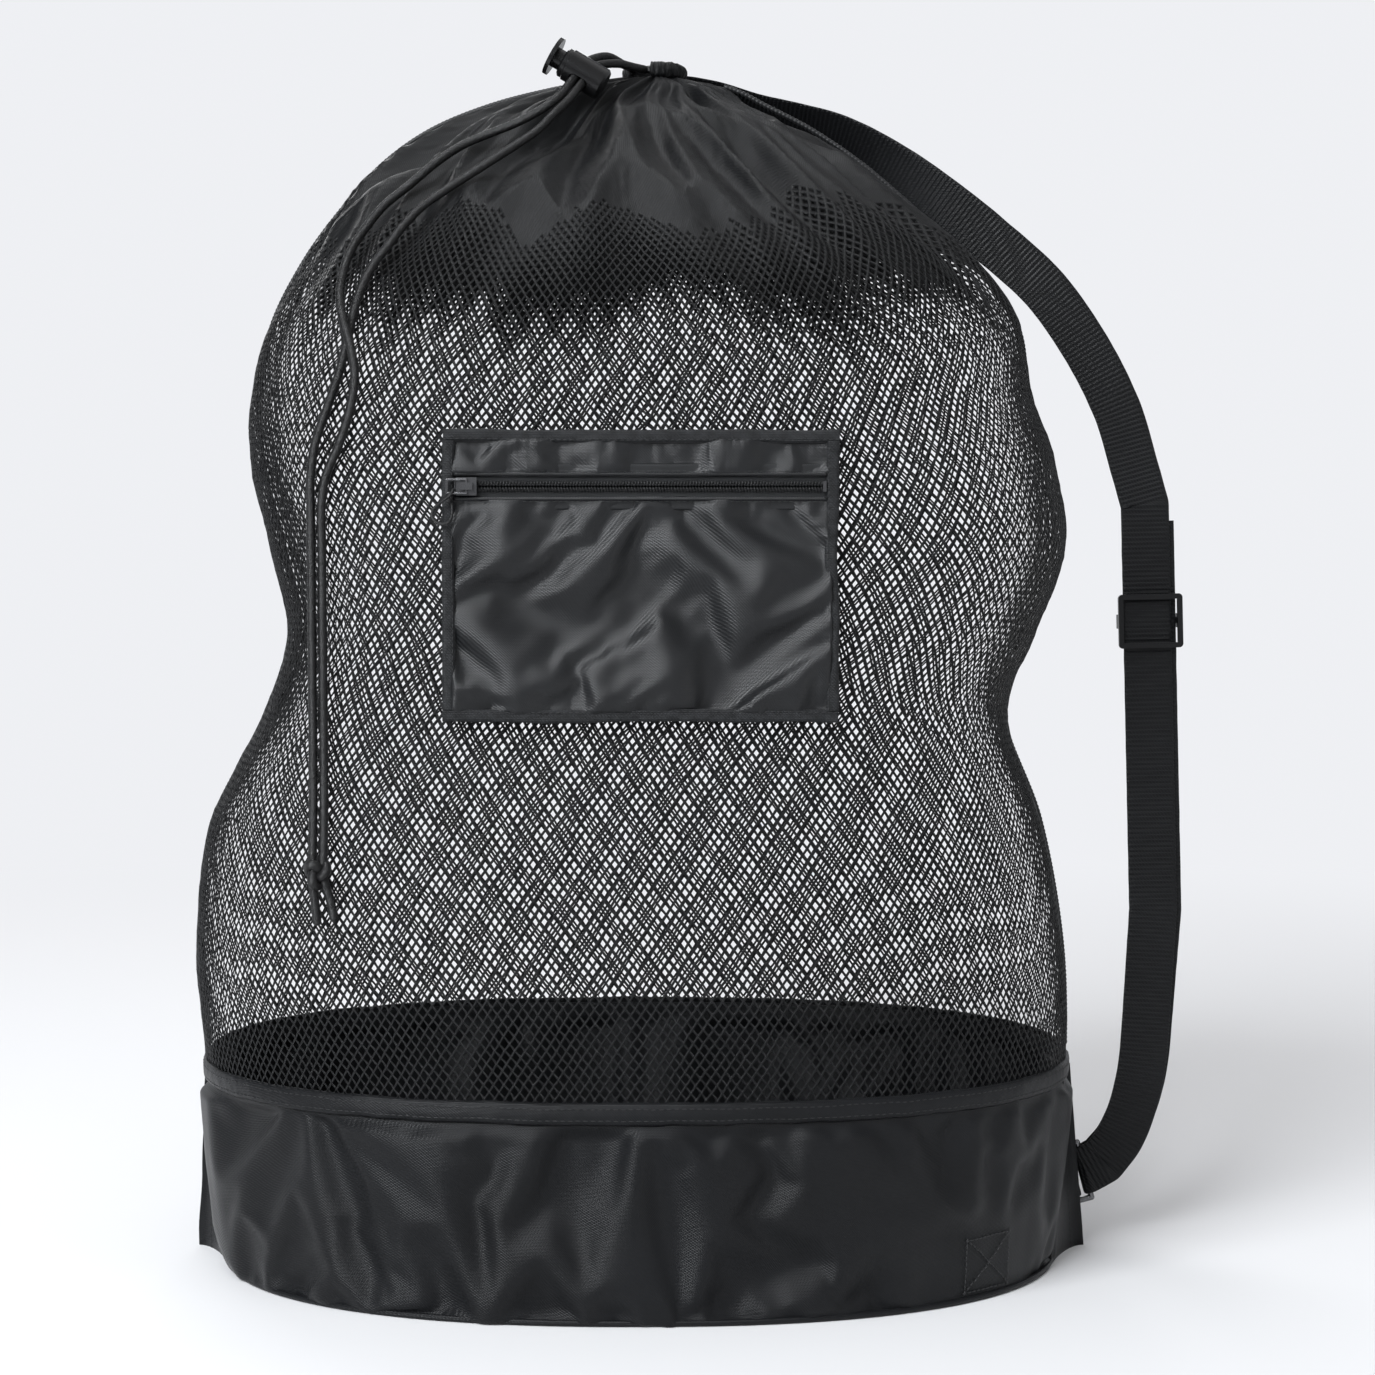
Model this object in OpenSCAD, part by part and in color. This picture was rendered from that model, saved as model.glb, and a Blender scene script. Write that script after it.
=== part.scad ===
// Mesh ball bag: coated base band, diamond mesh upper, zipped front pocket, drawcord with a
// push-button cord lock, and a shoulder strap with an adjuster.
// Origin: centre of the underside of the base. +Z up, the front (pocket) faces -Y.

/* [Bag] */
// Width of the bag where it is widest
bag_w = 430; // [410:1:440]
// Depth of the bag from front to back
bag_d = 310; // [304:1:316]
// Height of the coated base band
band_h = 100; // [90:1:110]
// Thickness of the coated fabric of the base
band_t = 2.4; // [1.6:0.1:3]
// Thickness of the mesh panels
mesh_t = 2; // [1.2:0.1:2.4]
// Width of the binding along the top of the base band
binding_h = 8; // [5:0.5:12]
// Diameter of the overlocked side seams of the mesh
seam_d = 2.6; // [1.6:0.1:3.2]

/* [Drawcord] */
// Diameter of the drawcord
cord_d = 4.4; // [3:0.1:4.6]
// Radius of the drawcord's loop in the gathered hem
hem_r = 12.3; // [12:0.1:13]
// Diameter of the overhand knot
knot_d = 14; // [11:0.5:16]

/* [Cord lock] */
// Outer diameter of the barrel
lock_d = 15.7; // [14:0.1:17]
// Length of the barrel
lock_len = 22.8; // [22:0.1:25]
// Diameter of the plunger's stem
plunger_d = 9.8; // [9.4:0.1:10.4]
// How far the button is pushed in
plunger_travel = 3; // [2:0.1:3]
// Diameter of the push button
button_d = 19; // [17:0.5:21]

/* [Shoulder strap] */
// Width of the webbing
strap_w = 24; // [20:0.5:25]
// Thickness of the webbing
strap_t = 1.5; // [1:0.1:1.6]
// Width of the adjuster
adjuster_w = 32; // [31.5:0.1:36]
// Height of the adjuster
adjuster_h = 27; // [22:0.5:32]
// Diameter of the wire of the strap ring
ring_wire = 3; // [2.4:0.1:3.2]

/* [Pocket] */
// Width of the pocket
pocket_w = 175; // [160:1:180]
// Height of the pocket
pocket_h = 129; // [120:1:134]
// Width of the binding around the pocket
pocket_binding_w = 5.4; // [4:0.1:6]
// Free depth inside the pocket
pocket_gap = 5; // [4.4:0.1:6]
// Width of the opening that holds the zip
zip_slot = 9; // [8.6:0.1:11]

/* [Hidden] */
$fn = 48;
gap = 0.3;

coated = "#26282a";
net = "#303234";
black_plastic = "#17181a";
webbing = "#1c1d1f";
cord_black = "#141416";
metal = "#4a4c50";

// Sections of the bag: height, reach to the left, reach to the right, half depth, and the
// power of the superellipse. The bulges are those of the load that the bag was packed with.
kw = bag_w / 430;
kd = bag_d / 310;
sections = [
    [0, 206, 206, 150, 2.3], [band_h / 2, 212, 209, 152, 2.3], [band_h, 216, 212, 153, 2.35],
    [155, 220, 210, 155, 2.4], [215, 213, 199, 150, 2.5], [270, 184, 180, 147, 3.2],
    [310, 170, 192, 146, 3.8], [350, 177, 205, 146, 4.2], [390, 187, 201, 145, 3.8],
    [425, 189, 192, 142, 3], [460, 183, 187, 134, 2.6], [492, 167, 166, 119, 2.4],
    [518, 148, 136, 99, 2.3], [540, 128, 110, 77, 2.2], [557, 104, 85, 56, 2.1],
    [569, 75, 62, 38, 2], [577, 44, 46, 27, 2], [583, 10.6, 24.6, 17.6, 2]];
band_end = 2;
mesh_end = len(sections) - 1;

neck_x = 7;
neck_z = 585.5;
hem_h = 9;
hem_w = 8.5;
hem_channel_d = cord_d + 0.8;

// ---- points, curves and closed meshes ----

function unit(v) = v / norm(v);
function power(c, e) = sign(c) * pow(abs(c), e);

// Point between b and c on the smooth curve through a, b, c and d
function smooth(a, b, c, d, t) = 0.5 * (2 * b + (c - a) * t
    + (2 * a - 5 * b + 4 * c - d) * t * t + (3 * b - a - 3 * c + d) * t * t * t);

// Value of a table of rows at row number v, which may be fractional
function at_row(rows, v) =
    let (last = len(rows) - 1, i = min(floor(v), last - 1), b = rows[i], c = rows[i + 1],
        a = i > 0 ? rows[i - 1] : 2 * b - c, d = i + 2 <= last ? rows[i + 2] : 2 * c - b)
    smooth(a, b, c, d, v - i);

// Smooth curve through a route, with n steps between its points
function refine(route, n) =
    [for (k = [0 : (len(route) - 1) * n]) at_row(route, k / n)];

function direction(route, i) =
    unit(route[min(i + 1, len(route) - 1)] - route[max(i - 1, 0)]);

// Outside of the bag at section number v and angle u: 0 right, 90 back, 180 left, 270 front
function skin(v, u) =
    let (s = at_row(sections, v), e = 2 / s[4])
    [kw * ((s[2] - s[1]) / 2 + (s[2] + s[1]) / 2 * power(cos(u), e)),
        kd * s[3] * power(sin(u), e), s[0]];

function skin_normal(v, u) =
    let (b = min(v, mesh_end - 0.02))
    unit(cross(skin(b, u + 0.5) - skin(b, u - 0.5), skin(b + 0.02, u) - skin(b, u)));

// Point at the distance out from the bag's outside, along its normal
function off_skin(v, u, out) = skin(v, u) + out * skin_normal(v, u);

// Closed mesh between two grids of points, outer and inner, with open edges joined
module sheet_between(outer, inner) {
    rows = len(outer);
    cols = len(outer[0]);
    half = rows * cols;
    function at(i, j) = i * cols + j;
    polyhedron([for (r = outer) each r, for (r = inner) each r], concat(
        [for (i = [0 : rows - 2], j = [0 : cols - 2])
            each [[at(i, j), at(i + 1, j), at(i + 1, j + 1)],
                [at(i, j), at(i + 1, j + 1), at(i, j + 1)]]],
        [for (i = [0 : rows - 2], j = [0 : cols - 2])
            each [[half + at(i, j), half + at(i + 1, j + 1), half + at(i + 1, j)],
                [half + at(i, j), half + at(i, j + 1), half + at(i + 1, j + 1)]]],
        [for (i = [0 : rows - 2]) each [
            [at(i, 0), half + at(i, 0), half + at(i + 1, 0)],
            [at(i, 0), half + at(i + 1, 0), at(i + 1, 0)],
            [at(i, cols - 1), half + at(i + 1, cols - 1), half + at(i, cols - 1)],
            [at(i, cols - 1), at(i + 1, cols - 1), half + at(i + 1, cols - 1)]]],
        [for (j = [0 : cols - 2]) each [
            [at(0, j), half + at(0, j + 1), half + at(0, j)],
            [at(0, j), at(0, j + 1), half + at(0, j + 1)],
            [at(rows - 1, j), half + at(rows - 1, j), half + at(rows - 1, j + 1)],
            [at(rows - 1, j), half + at(rows - 1, j + 1), at(rows - 1, j + 1)]]]));
}

// Closed mesh through rings of points that all have the same number of points
module loft(rings) {
    n = len(rings[0]);
    last = len(rings) - 1;
    polyhedron([for (r = rings) each r], concat(
        [[for (j = [n - 1 : -1 : 0]) j], [for (j = [0 : n - 1]) last * n + j]],
        [for (i = [0 : last - 1], j = [0 : n - 1]) let (k = (j + 1) % n)
            each [[i * n + j, i * n + k, (i + 1) * n + k],
                [i * n + j, (i + 1) * n + k, (i + 1) * n + j]]]));
}

// Round tube along a route, whose direction never comes near the given side direction
module tube(route, d, side = [0, 1, 0], sides = 8) {
    loft([for (i = [0 : len(route) - 1])
        let (t = direction(route, i), a = unit(cross(t, side)), b = cross(t, a))
        [for (k = [0 : sides - 1]) route[i]
            - d / 2 * (cos(360 * k / sides) * a + sin(360 * k / sides) * b)]]);
}

// Panel of the bag between two section numbers and two angles
module bag_panel(v0, v1, rows, u0, u1, cols, out, t) {
    outer = [for (i = [0 : rows]) [for (j = [0 : cols])
        off_skin(v0 + (v1 - v0) * i / rows, u0 + (u1 - u0) * j / cols, out)]];
    inner = [for (i = [0 : rows]) [for (j = [0 : cols])
        off_skin(v0 + (v1 - v0) * i / rows, u0 + (u1 - u0) * j / cols, out - t)]];
    sheet_between(outer, inner);
}

// ---- base ----

module base_bottom() {
    color(coated)
    linear_extrude(height = 3)
    polygon([for (u = [0 : 5 : 355])
        let (p = skin(0, u)) [p[0], p[1]] * (1 - (band_t + 0.6) / 150)]);
}

module base_band_front() {
    color(coated) bag_panel(0, band_end - 0.01, 4, 180, 360, 32, 0, band_t);
}

module base_band_back() {
    color(coated) bag_panel(0, band_end - 0.01, 4, 0, 180, 32, 0, band_t);
}

module base_top_binding() {
    low = band_end - binding_h / (band_h / 2);
    color(coated)
    for (u0 = [0, 180])
        bag_panel(low, band_end + 0.04, 2, u0, u0 + 180, 32, gap + 1.2, 1);
}

// Pressed side seam of the band, widest at the floor; side is 1 on the right, -1 on the left
module base_side_seam(side) {
    reach = side > 0 ? 2 : 1;
    root_low = kw * sections[0][reach] + 1;
    root_high = kw * sections[2][reach] + 1;
    top = band_h - binding_h - 2;
    translate([0, 1.5, 0]) rotate([90, 0, 0])
    linear_extrude(height = 3)
    polygon([[side * root_low, 0], [side * (root_low + 16), 0],
        [side * (root_high + 3), top], [side * root_high, top]]);
}

module base_side_seam_left() { color(coated) base_side_seam(-1); }

module base_side_seam_right() { color(coated) base_side_seam(1); }

// ---- mesh upper ----

mesh_start = band_end + 0.01;
mesh_rows = 28;

module mesh_front() {
    color(net) bag_panel(mesh_start, mesh_end, mesh_rows, 180, 360, 32, 0, mesh_t);
}

module mesh_back() {
    color(net) bag_panel(mesh_start, mesh_end, mesh_rows, 0, 180, 32, 0, mesh_t);
}

// Overlocked seam along the side; it follows the same rows of points as the mesh
module mesh_side_seam(u) {
    tube([for (i = [0 : mesh_rows - 2])
        off_skin(mesh_start + max(0.06, (mesh_end - mesh_start) * i / mesh_rows), u,
            seam_d / 2 + gap)], seam_d);
}

module mesh_side_seam_left() { color(net) mesh_side_seam(180); }

module mesh_side_seam_right() { color(net) mesh_side_seam(0); }

// ---- gathered mouth and drawcord ----

// Cord lock: middle of the barrel, tilt of the barrel from upright, and turn about its axis
lock_at = [-26.5, -47, 577];
lock_tilt = -59.6;
lock_turn = -134.4;
lock_axis = [sin(lock_tilt), 0, cos(lock_tilt)];
lock_hole = [cos(lock_turn) * cos(lock_tilt), sin(lock_turn),
    -cos(lock_turn) * sin(lock_tilt)];
cord_pitch = cord_d + 0.1;

// Where the cords leave the loop, as angles around the neck
exit_left = 225;
exit_right = 250;

function around_neck(r, angle, z) = [neck_x + r * cos(angle), r * sin(angle), z];
function in_lock(side, s) = lock_at + side * cord_pitch / 2 * lock_axis + s * lock_hole;

// The left tail starts on the upper side of the lock and crosses over the right one
tail_left_route = concat(
    [around_neck(hem_r, exit_left, neck_z), [-8, -17, 587], [-16, -27, 589]],
    [for (s = [-10, 0, 12, 24]) in_lock(1, s)],
    [[-44, -69, 557], [-57, -69, 550], [-70, -68, 545], [-83, -70, 539], [-95, -75, 530],
        [-107, -79, 519], [-118, -84, 509], [-126, -89, 498], [-132, -95, 487],
        [-135, -103, 475], [-135, -114, 463], [-132, -124, 451], [-128, -130, 439],
        [-126, -133, 426], [-128, -135, 411], [-133, -136, 395], [-139, -135, 381],
        [-141, -135, 367], [-141, -134, 352], [-141, -133, 336], [-141, -133, 320],
        [-141, -132, 304], [-141, -132, 288], [-141, -131, 272], [-141, -131, 256],
        [-141, -131, 240], [-141, -132, 225], [-141, -134, 213], [-141, -136, 202],
        [-138, -135, 191], [-136, -135, 181]]);
tail_right_route = concat(
    [around_neck(hem_r, exit_right, neck_z), [-3, -21, 585], [-11, -30, 585]],
    [for (s = [-10, 0, 12, 24]) in_lock(-1, s)],
    [[-40, -72, 553], [-47, -77, 545], [-56, -81, 538], [-67, -86, 530], [-80, -90, 521],
        [-90, -93, 514], [-99, -96, 507], [-107, -100, 498], [-114, -104, 488], [-121, -107, 478],
        [-126, -112, 466], [-129, -116, 454], [-131, -121, 442], [-134, -125, 428],
        [-139, -129, 412], [-144, -132, 396], [-146, -133, 381], [-146, -133, 367],
        [-146, -133, 352], [-146, -132, 336], [-146, -132, 320], [-146, -131, 304],
        [-146, -131, 288], [-146, -130, 272], [-146, -130, 256], [-146, -130, 240],
        [-146, -131, 225], [-146, -133, 213], [-146, -135, 202], [-145, -134, 190],
        [-144, -133, 179]]);
knot_at = [-143.5, -136, 203];

module mouth_hem() {
    color(net)
    difference() {
        translate([neck_x, 0, neck_z]) rotate_extrude($fn = 64)
        difference() {
            translate([hem_r - hem_w / 2, -hem_h / 2]) square([hem_w, hem_h]);
            translate([hem_r, 0]) circle(d = hem_channel_d, $fn = 24);
        }
        // Opening in the front of the hem that both cords come out of
        translate([neck_x, 0, neck_z]) rotate([0, 0, (exit_left + exit_right) / 2])
            translate([hem_r - 3.5, -8.5, -3.2]) cube([hem_w, 17, 6.4]);
    }
}

module drawcord_loop() {
    color(cord_black)
    translate([neck_x, 0, neck_z])
    rotate([0, 0, exit_right + 16])
    rotate_extrude(angle = 360 - (exit_right - exit_left) - 32, $fn = 64)
    translate([hem_r, 0]) circle(d = cord_d, $fn = 24);
}

module drawcord_tail_left() { color(cord_black) tube(tail_left_route, cord_d); }

module drawcord_tail_right() { color(cord_black) tube(tail_right_route, cord_d); }

module drawcord_knot() {
    color(cord_black) translate(knot_at) sphere(d = knot_d);
}

// ---- cord lock, drawn with its axis along Z and its cord hole along X ----

lock_wall = 1.2;
hole_w = cord_d + 0.7;
hole_half = cord_d + 0.5;
button_t = 2;
button_gap = 4;
stem_wall = 1.2;

module place_lock() {
    translate(lock_at) rotate([0, lock_tilt, 0]) rotate([0, 0, lock_turn]) children();
}

// Long round-ended hole across the lock, from z0 to z1
module cord_hole(z0, z1) {
    r = hole_w / 2;
    translate([0, 0, z0 + r]) rotate([0, 90, 0]) cylinder(h = 2 * lock_d, r = r, center = true);
    translate([0, 0, z1 - r]) rotate([0, 90, 0]) cylinder(h = 2 * lock_d, r = r, center = true);
    translate([-lock_d, -r, z0 + r]) cube([2 * lock_d, 2 * r, z1 - z0 - 2 * r]);
}

module cord_lock_barrel() {
    half = lock_len / 2;
    color(black_plastic)
    place_lock()
    difference() {
        rotate_extrude()
        polygon([[0, -half], [lock_d / 2 - 1.2, -half], [lock_d / 2, -half + 1.2],
            [lock_d / 2, half - 3], [lock_d / 2 - 0.6, half - 2.6],
            [lock_d / 2 - 0.6, half - 0.8], [lock_d / 2 - 1.4, half], [0, half]]);
        translate([0, 0, -half + lock_wall]) cylinder(h = lock_len, d = plunger_d + 0.2);
        cord_hole(-hole_half, hole_half);
    }
}

module cord_lock_plunger() {
    half = lock_len / 2;
    low = -hole_half - stem_wall;
    color(black_plastic)
    place_lock()
    difference() {
        union() {
            translate([0, 0, low]) cylinder(h = half + button_gap - low + 0.1, d = plunger_d);
            translate([0, 0, half + button_gap]) cylinder(h = button_t, d = button_d);
        }
        cord_hole(-hole_half, hole_half + plunger_travel);
    }
}

module cord_lock_spring() {
    wire = 0.5;
    turns = 2;
    low = -lock_len / 2 + lock_wall + wire / 2 + 0.05;
    high = -hole_half - stem_wall - wire / 2 - 0.05;
    color(metal)
    place_lock()
    tube([for (k = [0 : 14 * turns]) let (a = 360 * k / 14)
        [3.2 * cos(a), 3.2 * sin(a), low + (high - low) * k / (14 * turns)]],
        wire, side = [0, 0, 1]);
}

// ---- shoulder strap ----

// Middle of the straight stretch that the adjuster slides on, and its direction
adjuster_at = [254.8, 3.65, 314.5];
run_dir = unit([0.027, 0, -1]);
layer_gap = 0.3;
layer_step = strap_t + layer_gap;
layer_shift = 1.3;

// Bar of the ring that the strap passes round, and the way the strap comes to it
strap_bar = [224, 5.35, 37];
strap_bar_dir = [-0.26, 0, 0.966];
tab_bar = [216.8, 5.35, 35];
to_ring = [-0.966, 0, -0.26];
fold_r = ring_wire / 2 + gap + strap_t / 2;

function on_run(down, layer) = adjuster_at + down * run_dir
    + [-layer * layer_shift, -layer * layer_step / 2, 0];

// Rows of the strap: centre, then the direction that its outer face looks in
strap_top = [
    [-12, 28, 579, 0, 0.65, 0.76], [4, 29, 579, 0, 0.65, 0.76],
    [20, 30, 578, 0.1, 0.65, 0.75], [38, 32, 574, 0.17, 0.68, 0.7],
    [58, 34, 568, 0.22, 0.7, 0.65], [79, 31, 562.5, 0.24, 0.72, 0.62],
    [101, 26, 555, 0.27, 0.78, 0.56], [126, 19, 542, 0.25, 0.87, 0.4],
    [152, 12, 524, 0.15, 0.96, 0.2], [176, 8, 504, 0.06, 1, 0.06],
    [202, 6, 480, 0, 1, 0], [223, 5, 450, 0, 1, 0], [238, 4, 420, 0, 1, 0],
    [247, 3, 390, 0, 1, 0]];
strap_bend = [[254.5, 118], [252.5, 92], [248.5, 72], [242, 54.5], [233, 42]];

function strap_row(p, face) = [p[0], p[1], p[2], face[0], face[1], face[2]];

strap_down = concat(
    refine([for (r = strap_top) strap_row(r, -[r[3], r[4], r[5]])], 2),
    [for (d = [-58 : 29 : 145]) strap_row(on_run(d, 1), [0, -1, 0])],
    refine([for (p = strap_bend) [p[0], strap_bar[1] - fold_r, p[1], 0, -1, 0]], 2));
strap_fold = [for (a = [0 : 30 : 180])
    strap_row(strap_bar + fold_r * (-cos(a) * [0, 1, 0] + sin(a) * to_ring),
        -cos(a) * [0, 1, 0] + sin(a) * to_ring)];
strap_up = concat(
    refine([for (i = [len(strap_bend) - 1 : -1 : 0]) let (p = strap_bend[i])
        [p[0] + (i == 0 ? 2 : 0.6 * (4 - i)), strap_bar[1] + fold_r - 0.35 * (4 - i), p[1],
            0, 1, 0]], 2),
    [for (d = [145 : -39 : -50]) strap_row(on_run(d, -1), [0, 1, 0])]);
strap_rows = concat(strap_down, strap_fold, strap_up);

module shoulder_strap() {
    middle = [for (r = strap_rows) [r[0], r[1], r[2]]];
    color(webbing)
    loft([for (i = [0 : len(strap_rows) - 1])
        let (r = strap_rows[i], t = direction(middle, i),
            across = unit(cross([r[3], r[4], r[5]], t)), out = unit(cross(t, across)),
            w = strap_w / 2 * across, h = strap_t / 2 * out)
        [middle[i] + w + h, middle[i] + w - h, middle[i] - w - h, middle[i] - w + h]]);
}

// Adjuster: a frame in front of the webbing and a middle bar behind it, one moulding
bar_d = 2.6;

module strap_adjuster() {
    deep = 2 * strap_t + layer_gap + 0.6;
    front = -deep / 2;
    lug_h = 7;
    color(black_plastic)
    translate(adjuster_at) rotate([0, -atan2(run_dir[0], -run_dir[2]), 0]) {
        difference() {
            translate([0, front, 0]) rotate([90, 0, 0])
            linear_extrude(height = bar_d)
            offset(r = 2) square([adjuster_w - 4, adjuster_h - 4], center = true);
            translate([0, front, 0]) rotate([90, 0, 0])
            translate([0, 0, -1]) linear_extrude(height = bar_d + 2)
            square([adjuster_w - 2 * bar_d + 0.2, adjuster_h - 2 * bar_d], center = true);
        }
        for (side = [-1, 1])
            translate([side * (adjuster_w - bar_d) / 2 - bar_d / 2 + 0.15, front - 0.4,
                -lug_h / 2])
            cube([bar_d - 0.3, deep + bar_d + 0.4, lug_h]);
        translate([-adjuster_w / 2 + 0.15, deep / 2, -1.6])
            cube([adjuster_w - 0.3, bar_d, 3.2]);
    }
}

// Ring in the plane of the strap, between the strap's fold and the tab
module strap_ring() {
    span = 26;
    reach = norm(strap_bar - tab_bar);
    tilt = -atan2(-strap_bar_dir[0], strap_bar_dir[2]);
    color(metal)
    translate(tab_bar) rotate([0, tilt, 0]) {
        for (x = [0, reach]) translate([x, 0, -span / 2 - ring_wire / 2])
            cylinder(h = span + ring_wire, d = ring_wire, $fn = 24);
        for (z = [-1, 1]) translate([0, 0, z * (span + ring_wire) / 2]) rotate([0, 90, 0])
            cylinder(h = reach, d = ring_wire, $fn = 24);
        for (x = [0, reach], z = [-1, 1])
            translate([x, 0, z * (span + ring_wire) / 2]) sphere(d = ring_wire, $fn = 24);
    }
}

module ring_tab() {
    tilt = -atan2(-strap_bar_dir[0], strap_bar_dir[2]);
    inner = ring_wire / 2 + gap;
    outer = inner + strap_t;
    leg = 4.2;
    color(webbing)
    translate(tab_bar) rotate([0, tilt, 0])
    linear_extrude(height = strap_w, center = true)
    difference() {
        union() {
            circle(r = outer);
            translate([-leg, -outer]) square([leg, 2 * outer]);
        }
        circle(r = inner);
        translate([-leg - 1, -inner]) square([leg + 1, 2 * inner]);
    }
}

// Inside end of the tab, stitched through the front of the band with a crossed box
module anchor_patch() {
    color(webbing)
    bag_panel(0.09, 0.62, 2, 314, 326, 6, -band_t - gap, strap_t);
}

// ---- pocket: y levels from the mesh outwards, heights from the floor ----

pocket_x0 = 2.5 - pocket_w / 2;
pocket_x1 = 2.5 + pocket_w / 2;
pocket_z0 = 272;
pocket_z1 = pocket_z0 + pocket_h;
panel_t = 1;
back_y = -147.6 * kd;
gap_y = back_y - panel_t;
front_y = gap_y - pocket_gap;
face_y = front_y - panel_t;
zip_z = pocket_z1 - 25;
row_gap = 1;
coil_w = 1.8;
coil_t = 1.4;
tape_t = 0.7;
tape_lap = 5.5;

module slab(x0, x1, y0, y1, z0, z1) {
    translate([x0, y0, z0]) cube([x1 - x0, y1 - y0, z1 - z0]);
}

module pocket_back_panel() {
    b = pocket_binding_w;
    color(coated) slab(pocket_x0 + b, pocket_x1 - b, gap_y, back_y,
        pocket_z0 + b, pocket_z1 - b);
}

module pocket_front_panel() {
    b = pocket_binding_w;
    color(coated) slab(pocket_x0 + b, pocket_x1 - b, face_y, front_y,
        pocket_z0 + b, zip_z - zip_slot / 2);
}

module pocket_top_panel() {
    b = pocket_binding_w;
    color(coated) slab(pocket_x0 + b, pocket_x1 - b, face_y, front_y,
        zip_z + zip_slot / 2, pocket_z1 - b);
}

module pocket_binding_top() {
    color(coated) slab(pocket_x0, pocket_x1, face_y - 0.8, back_y + 0.4,
        pocket_z1 - pocket_binding_w, pocket_z1);
}

module pocket_binding_bottom() {
    color(coated) slab(pocket_x0, pocket_x1, face_y - 0.8, back_y + 0.4,
        pocket_z0, pocket_z0 + pocket_binding_w);
}

module pocket_side_binding(x) {
    color(coated) slab(x, x + pocket_binding_w, face_y - 0.8, back_y + 0.4,
        pocket_z0 + pocket_binding_w, pocket_z1 - pocket_binding_w);
}

module pocket_binding_left() { pocket_side_binding(pocket_x0); }

module pocket_binding_right() { pocket_side_binding(pocket_x1 - pocket_binding_w); }

// One half of the zip above (up = 1) or below (up = -1) the middle line
module zip_strip(up, low, high, y0, y1) {
    b = pocket_binding_w;
    slab(pocket_x0 + b, pocket_x1 - b, y0, y1,
        zip_z + (up > 0 ? low : -high), zip_z + (up > 0 ? high : -low));
}

module zip_tape(up) {
    color(black_plastic) zip_strip(up, row_gap / 2, zip_slot / 2 + tape_lap,
        front_y + 0.1, front_y + 0.1 + tape_t);
}

module zip_coil(up) {
    color(black_plastic) zip_strip(up, row_gap / 2, row_gap / 2 + coil_w,
        front_y - coil_t, front_y);
}

module zip_tape_upper() { zip_tape(1); }

module zip_tape_lower() { zip_tape(-1); }

module zip_coil_upper() { zip_coil(1); }

module zip_coil_lower() { zip_coil(-1); }

slider_l = 9;
slider_w = 8;
slider_x = pocket_x0 + pocket_binding_w + 1 + slider_l / 2;
plate_t = 1.6;
plate_y = front_y - coil_t - 0.4;
bridge_y = plate_y - plate_t;
wire_d = 1.2;
hinge_y = bridge_y - 1.3;

module zip_end_stops() {
    b = pocket_binding_w;
    color(metal)
    for (x = [pocket_x0 + b + 0.05, pocket_x1 - b - 1.6])
        slab(x, x + (x < 0 ? 0.6 : 1.5), front_y - coil_t - 0.9, front_y - coil_t - 0.05,
            zip_z - 2.3, zip_z + 2.3);
}

module zip_slider() {
    tape_back = front_y + 0.1 + tape_t + 0.3;
    post = 1.2;
    half_hole = 1.6;
    color(metal) {
        slab(slider_x - slider_l / 2, slider_x + slider_l / 2, bridge_y, plate_y,
            zip_z - slider_w / 2, zip_z + slider_w / 2);
        slab(slider_x - slider_l / 2, slider_x + slider_l / 2, tape_back, tape_back + 1,
            zip_z - slider_w / 2, zip_z + slider_w / 2);
        slab(slider_x - slider_l / 2, slider_x, plate_y - 0.2, tape_back + 0.2,
            zip_z - 0.2, zip_z + 0.2);
        for (x = [-half_hole - post, half_hole])
            slab(slider_x + x, slider_x + x + post, bridge_y - 3.2, bridge_y + 0.2,
                zip_z - 1.6, zip_z + 1.6);
        slab(slider_x - half_hole - post, slider_x + half_hole + post,
            bridge_y - 3.2, bridge_y - 2.2, zip_z - 1.6, zip_z + 1.6);
    }
}

ring_half = 3;
ring_reach = 8.5;

// Flat wire ring, pointing left from the slider's bridge
module zip_pull_ring() {
    color(metal)
    translate([slider_x, hinge_y, zip_z]) {
        for (x = [-ring_reach, 0]) translate([x, 0, -ring_half])
            cylinder(h = 2 * ring_half, d = wire_d, $fn = 16);
        for (z = [-ring_half, ring_half]) translate([-ring_reach, 0, z]) rotate([0, 90, 0])
            cylinder(h = ring_reach, d = wire_d, $fn = 16);
        for (x = [-ring_reach, 0], z = [-ring_half, ring_half])
            translate([x, 0, z]) sphere(d = wire_d, $fn = 16);
    }
}

loop_d = 1.4;
loop_at = [slider_x - ring_reach + 2.2, hinge_y, zip_z - ring_half];
loop_lean = 25;

// Cord loop round the ring's lower arm, drawn hanging straight down before it leans
loop_route = [[0, 0, 1.7], [0, -1.2, 1.2], [0, -1.7, 0], [-0.6, -1.5, -2], [-2, -0.7, -4.5],
    [-3.6, -0.2, -7.5], [-4.3, 0, -10.5], [-3.3, 0, -13.2], [0, 0, -14.6], [3.3, 0, -13.2],
    [4.3, 0, -10.5], [3.6, 0.2, -7.5], [2, 0.7, -4.5], [0.6, 1.5, -2], [0, 1.7, 0],
    [0, 1.2, 1.2], [0, 0, 1.7]];

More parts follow.
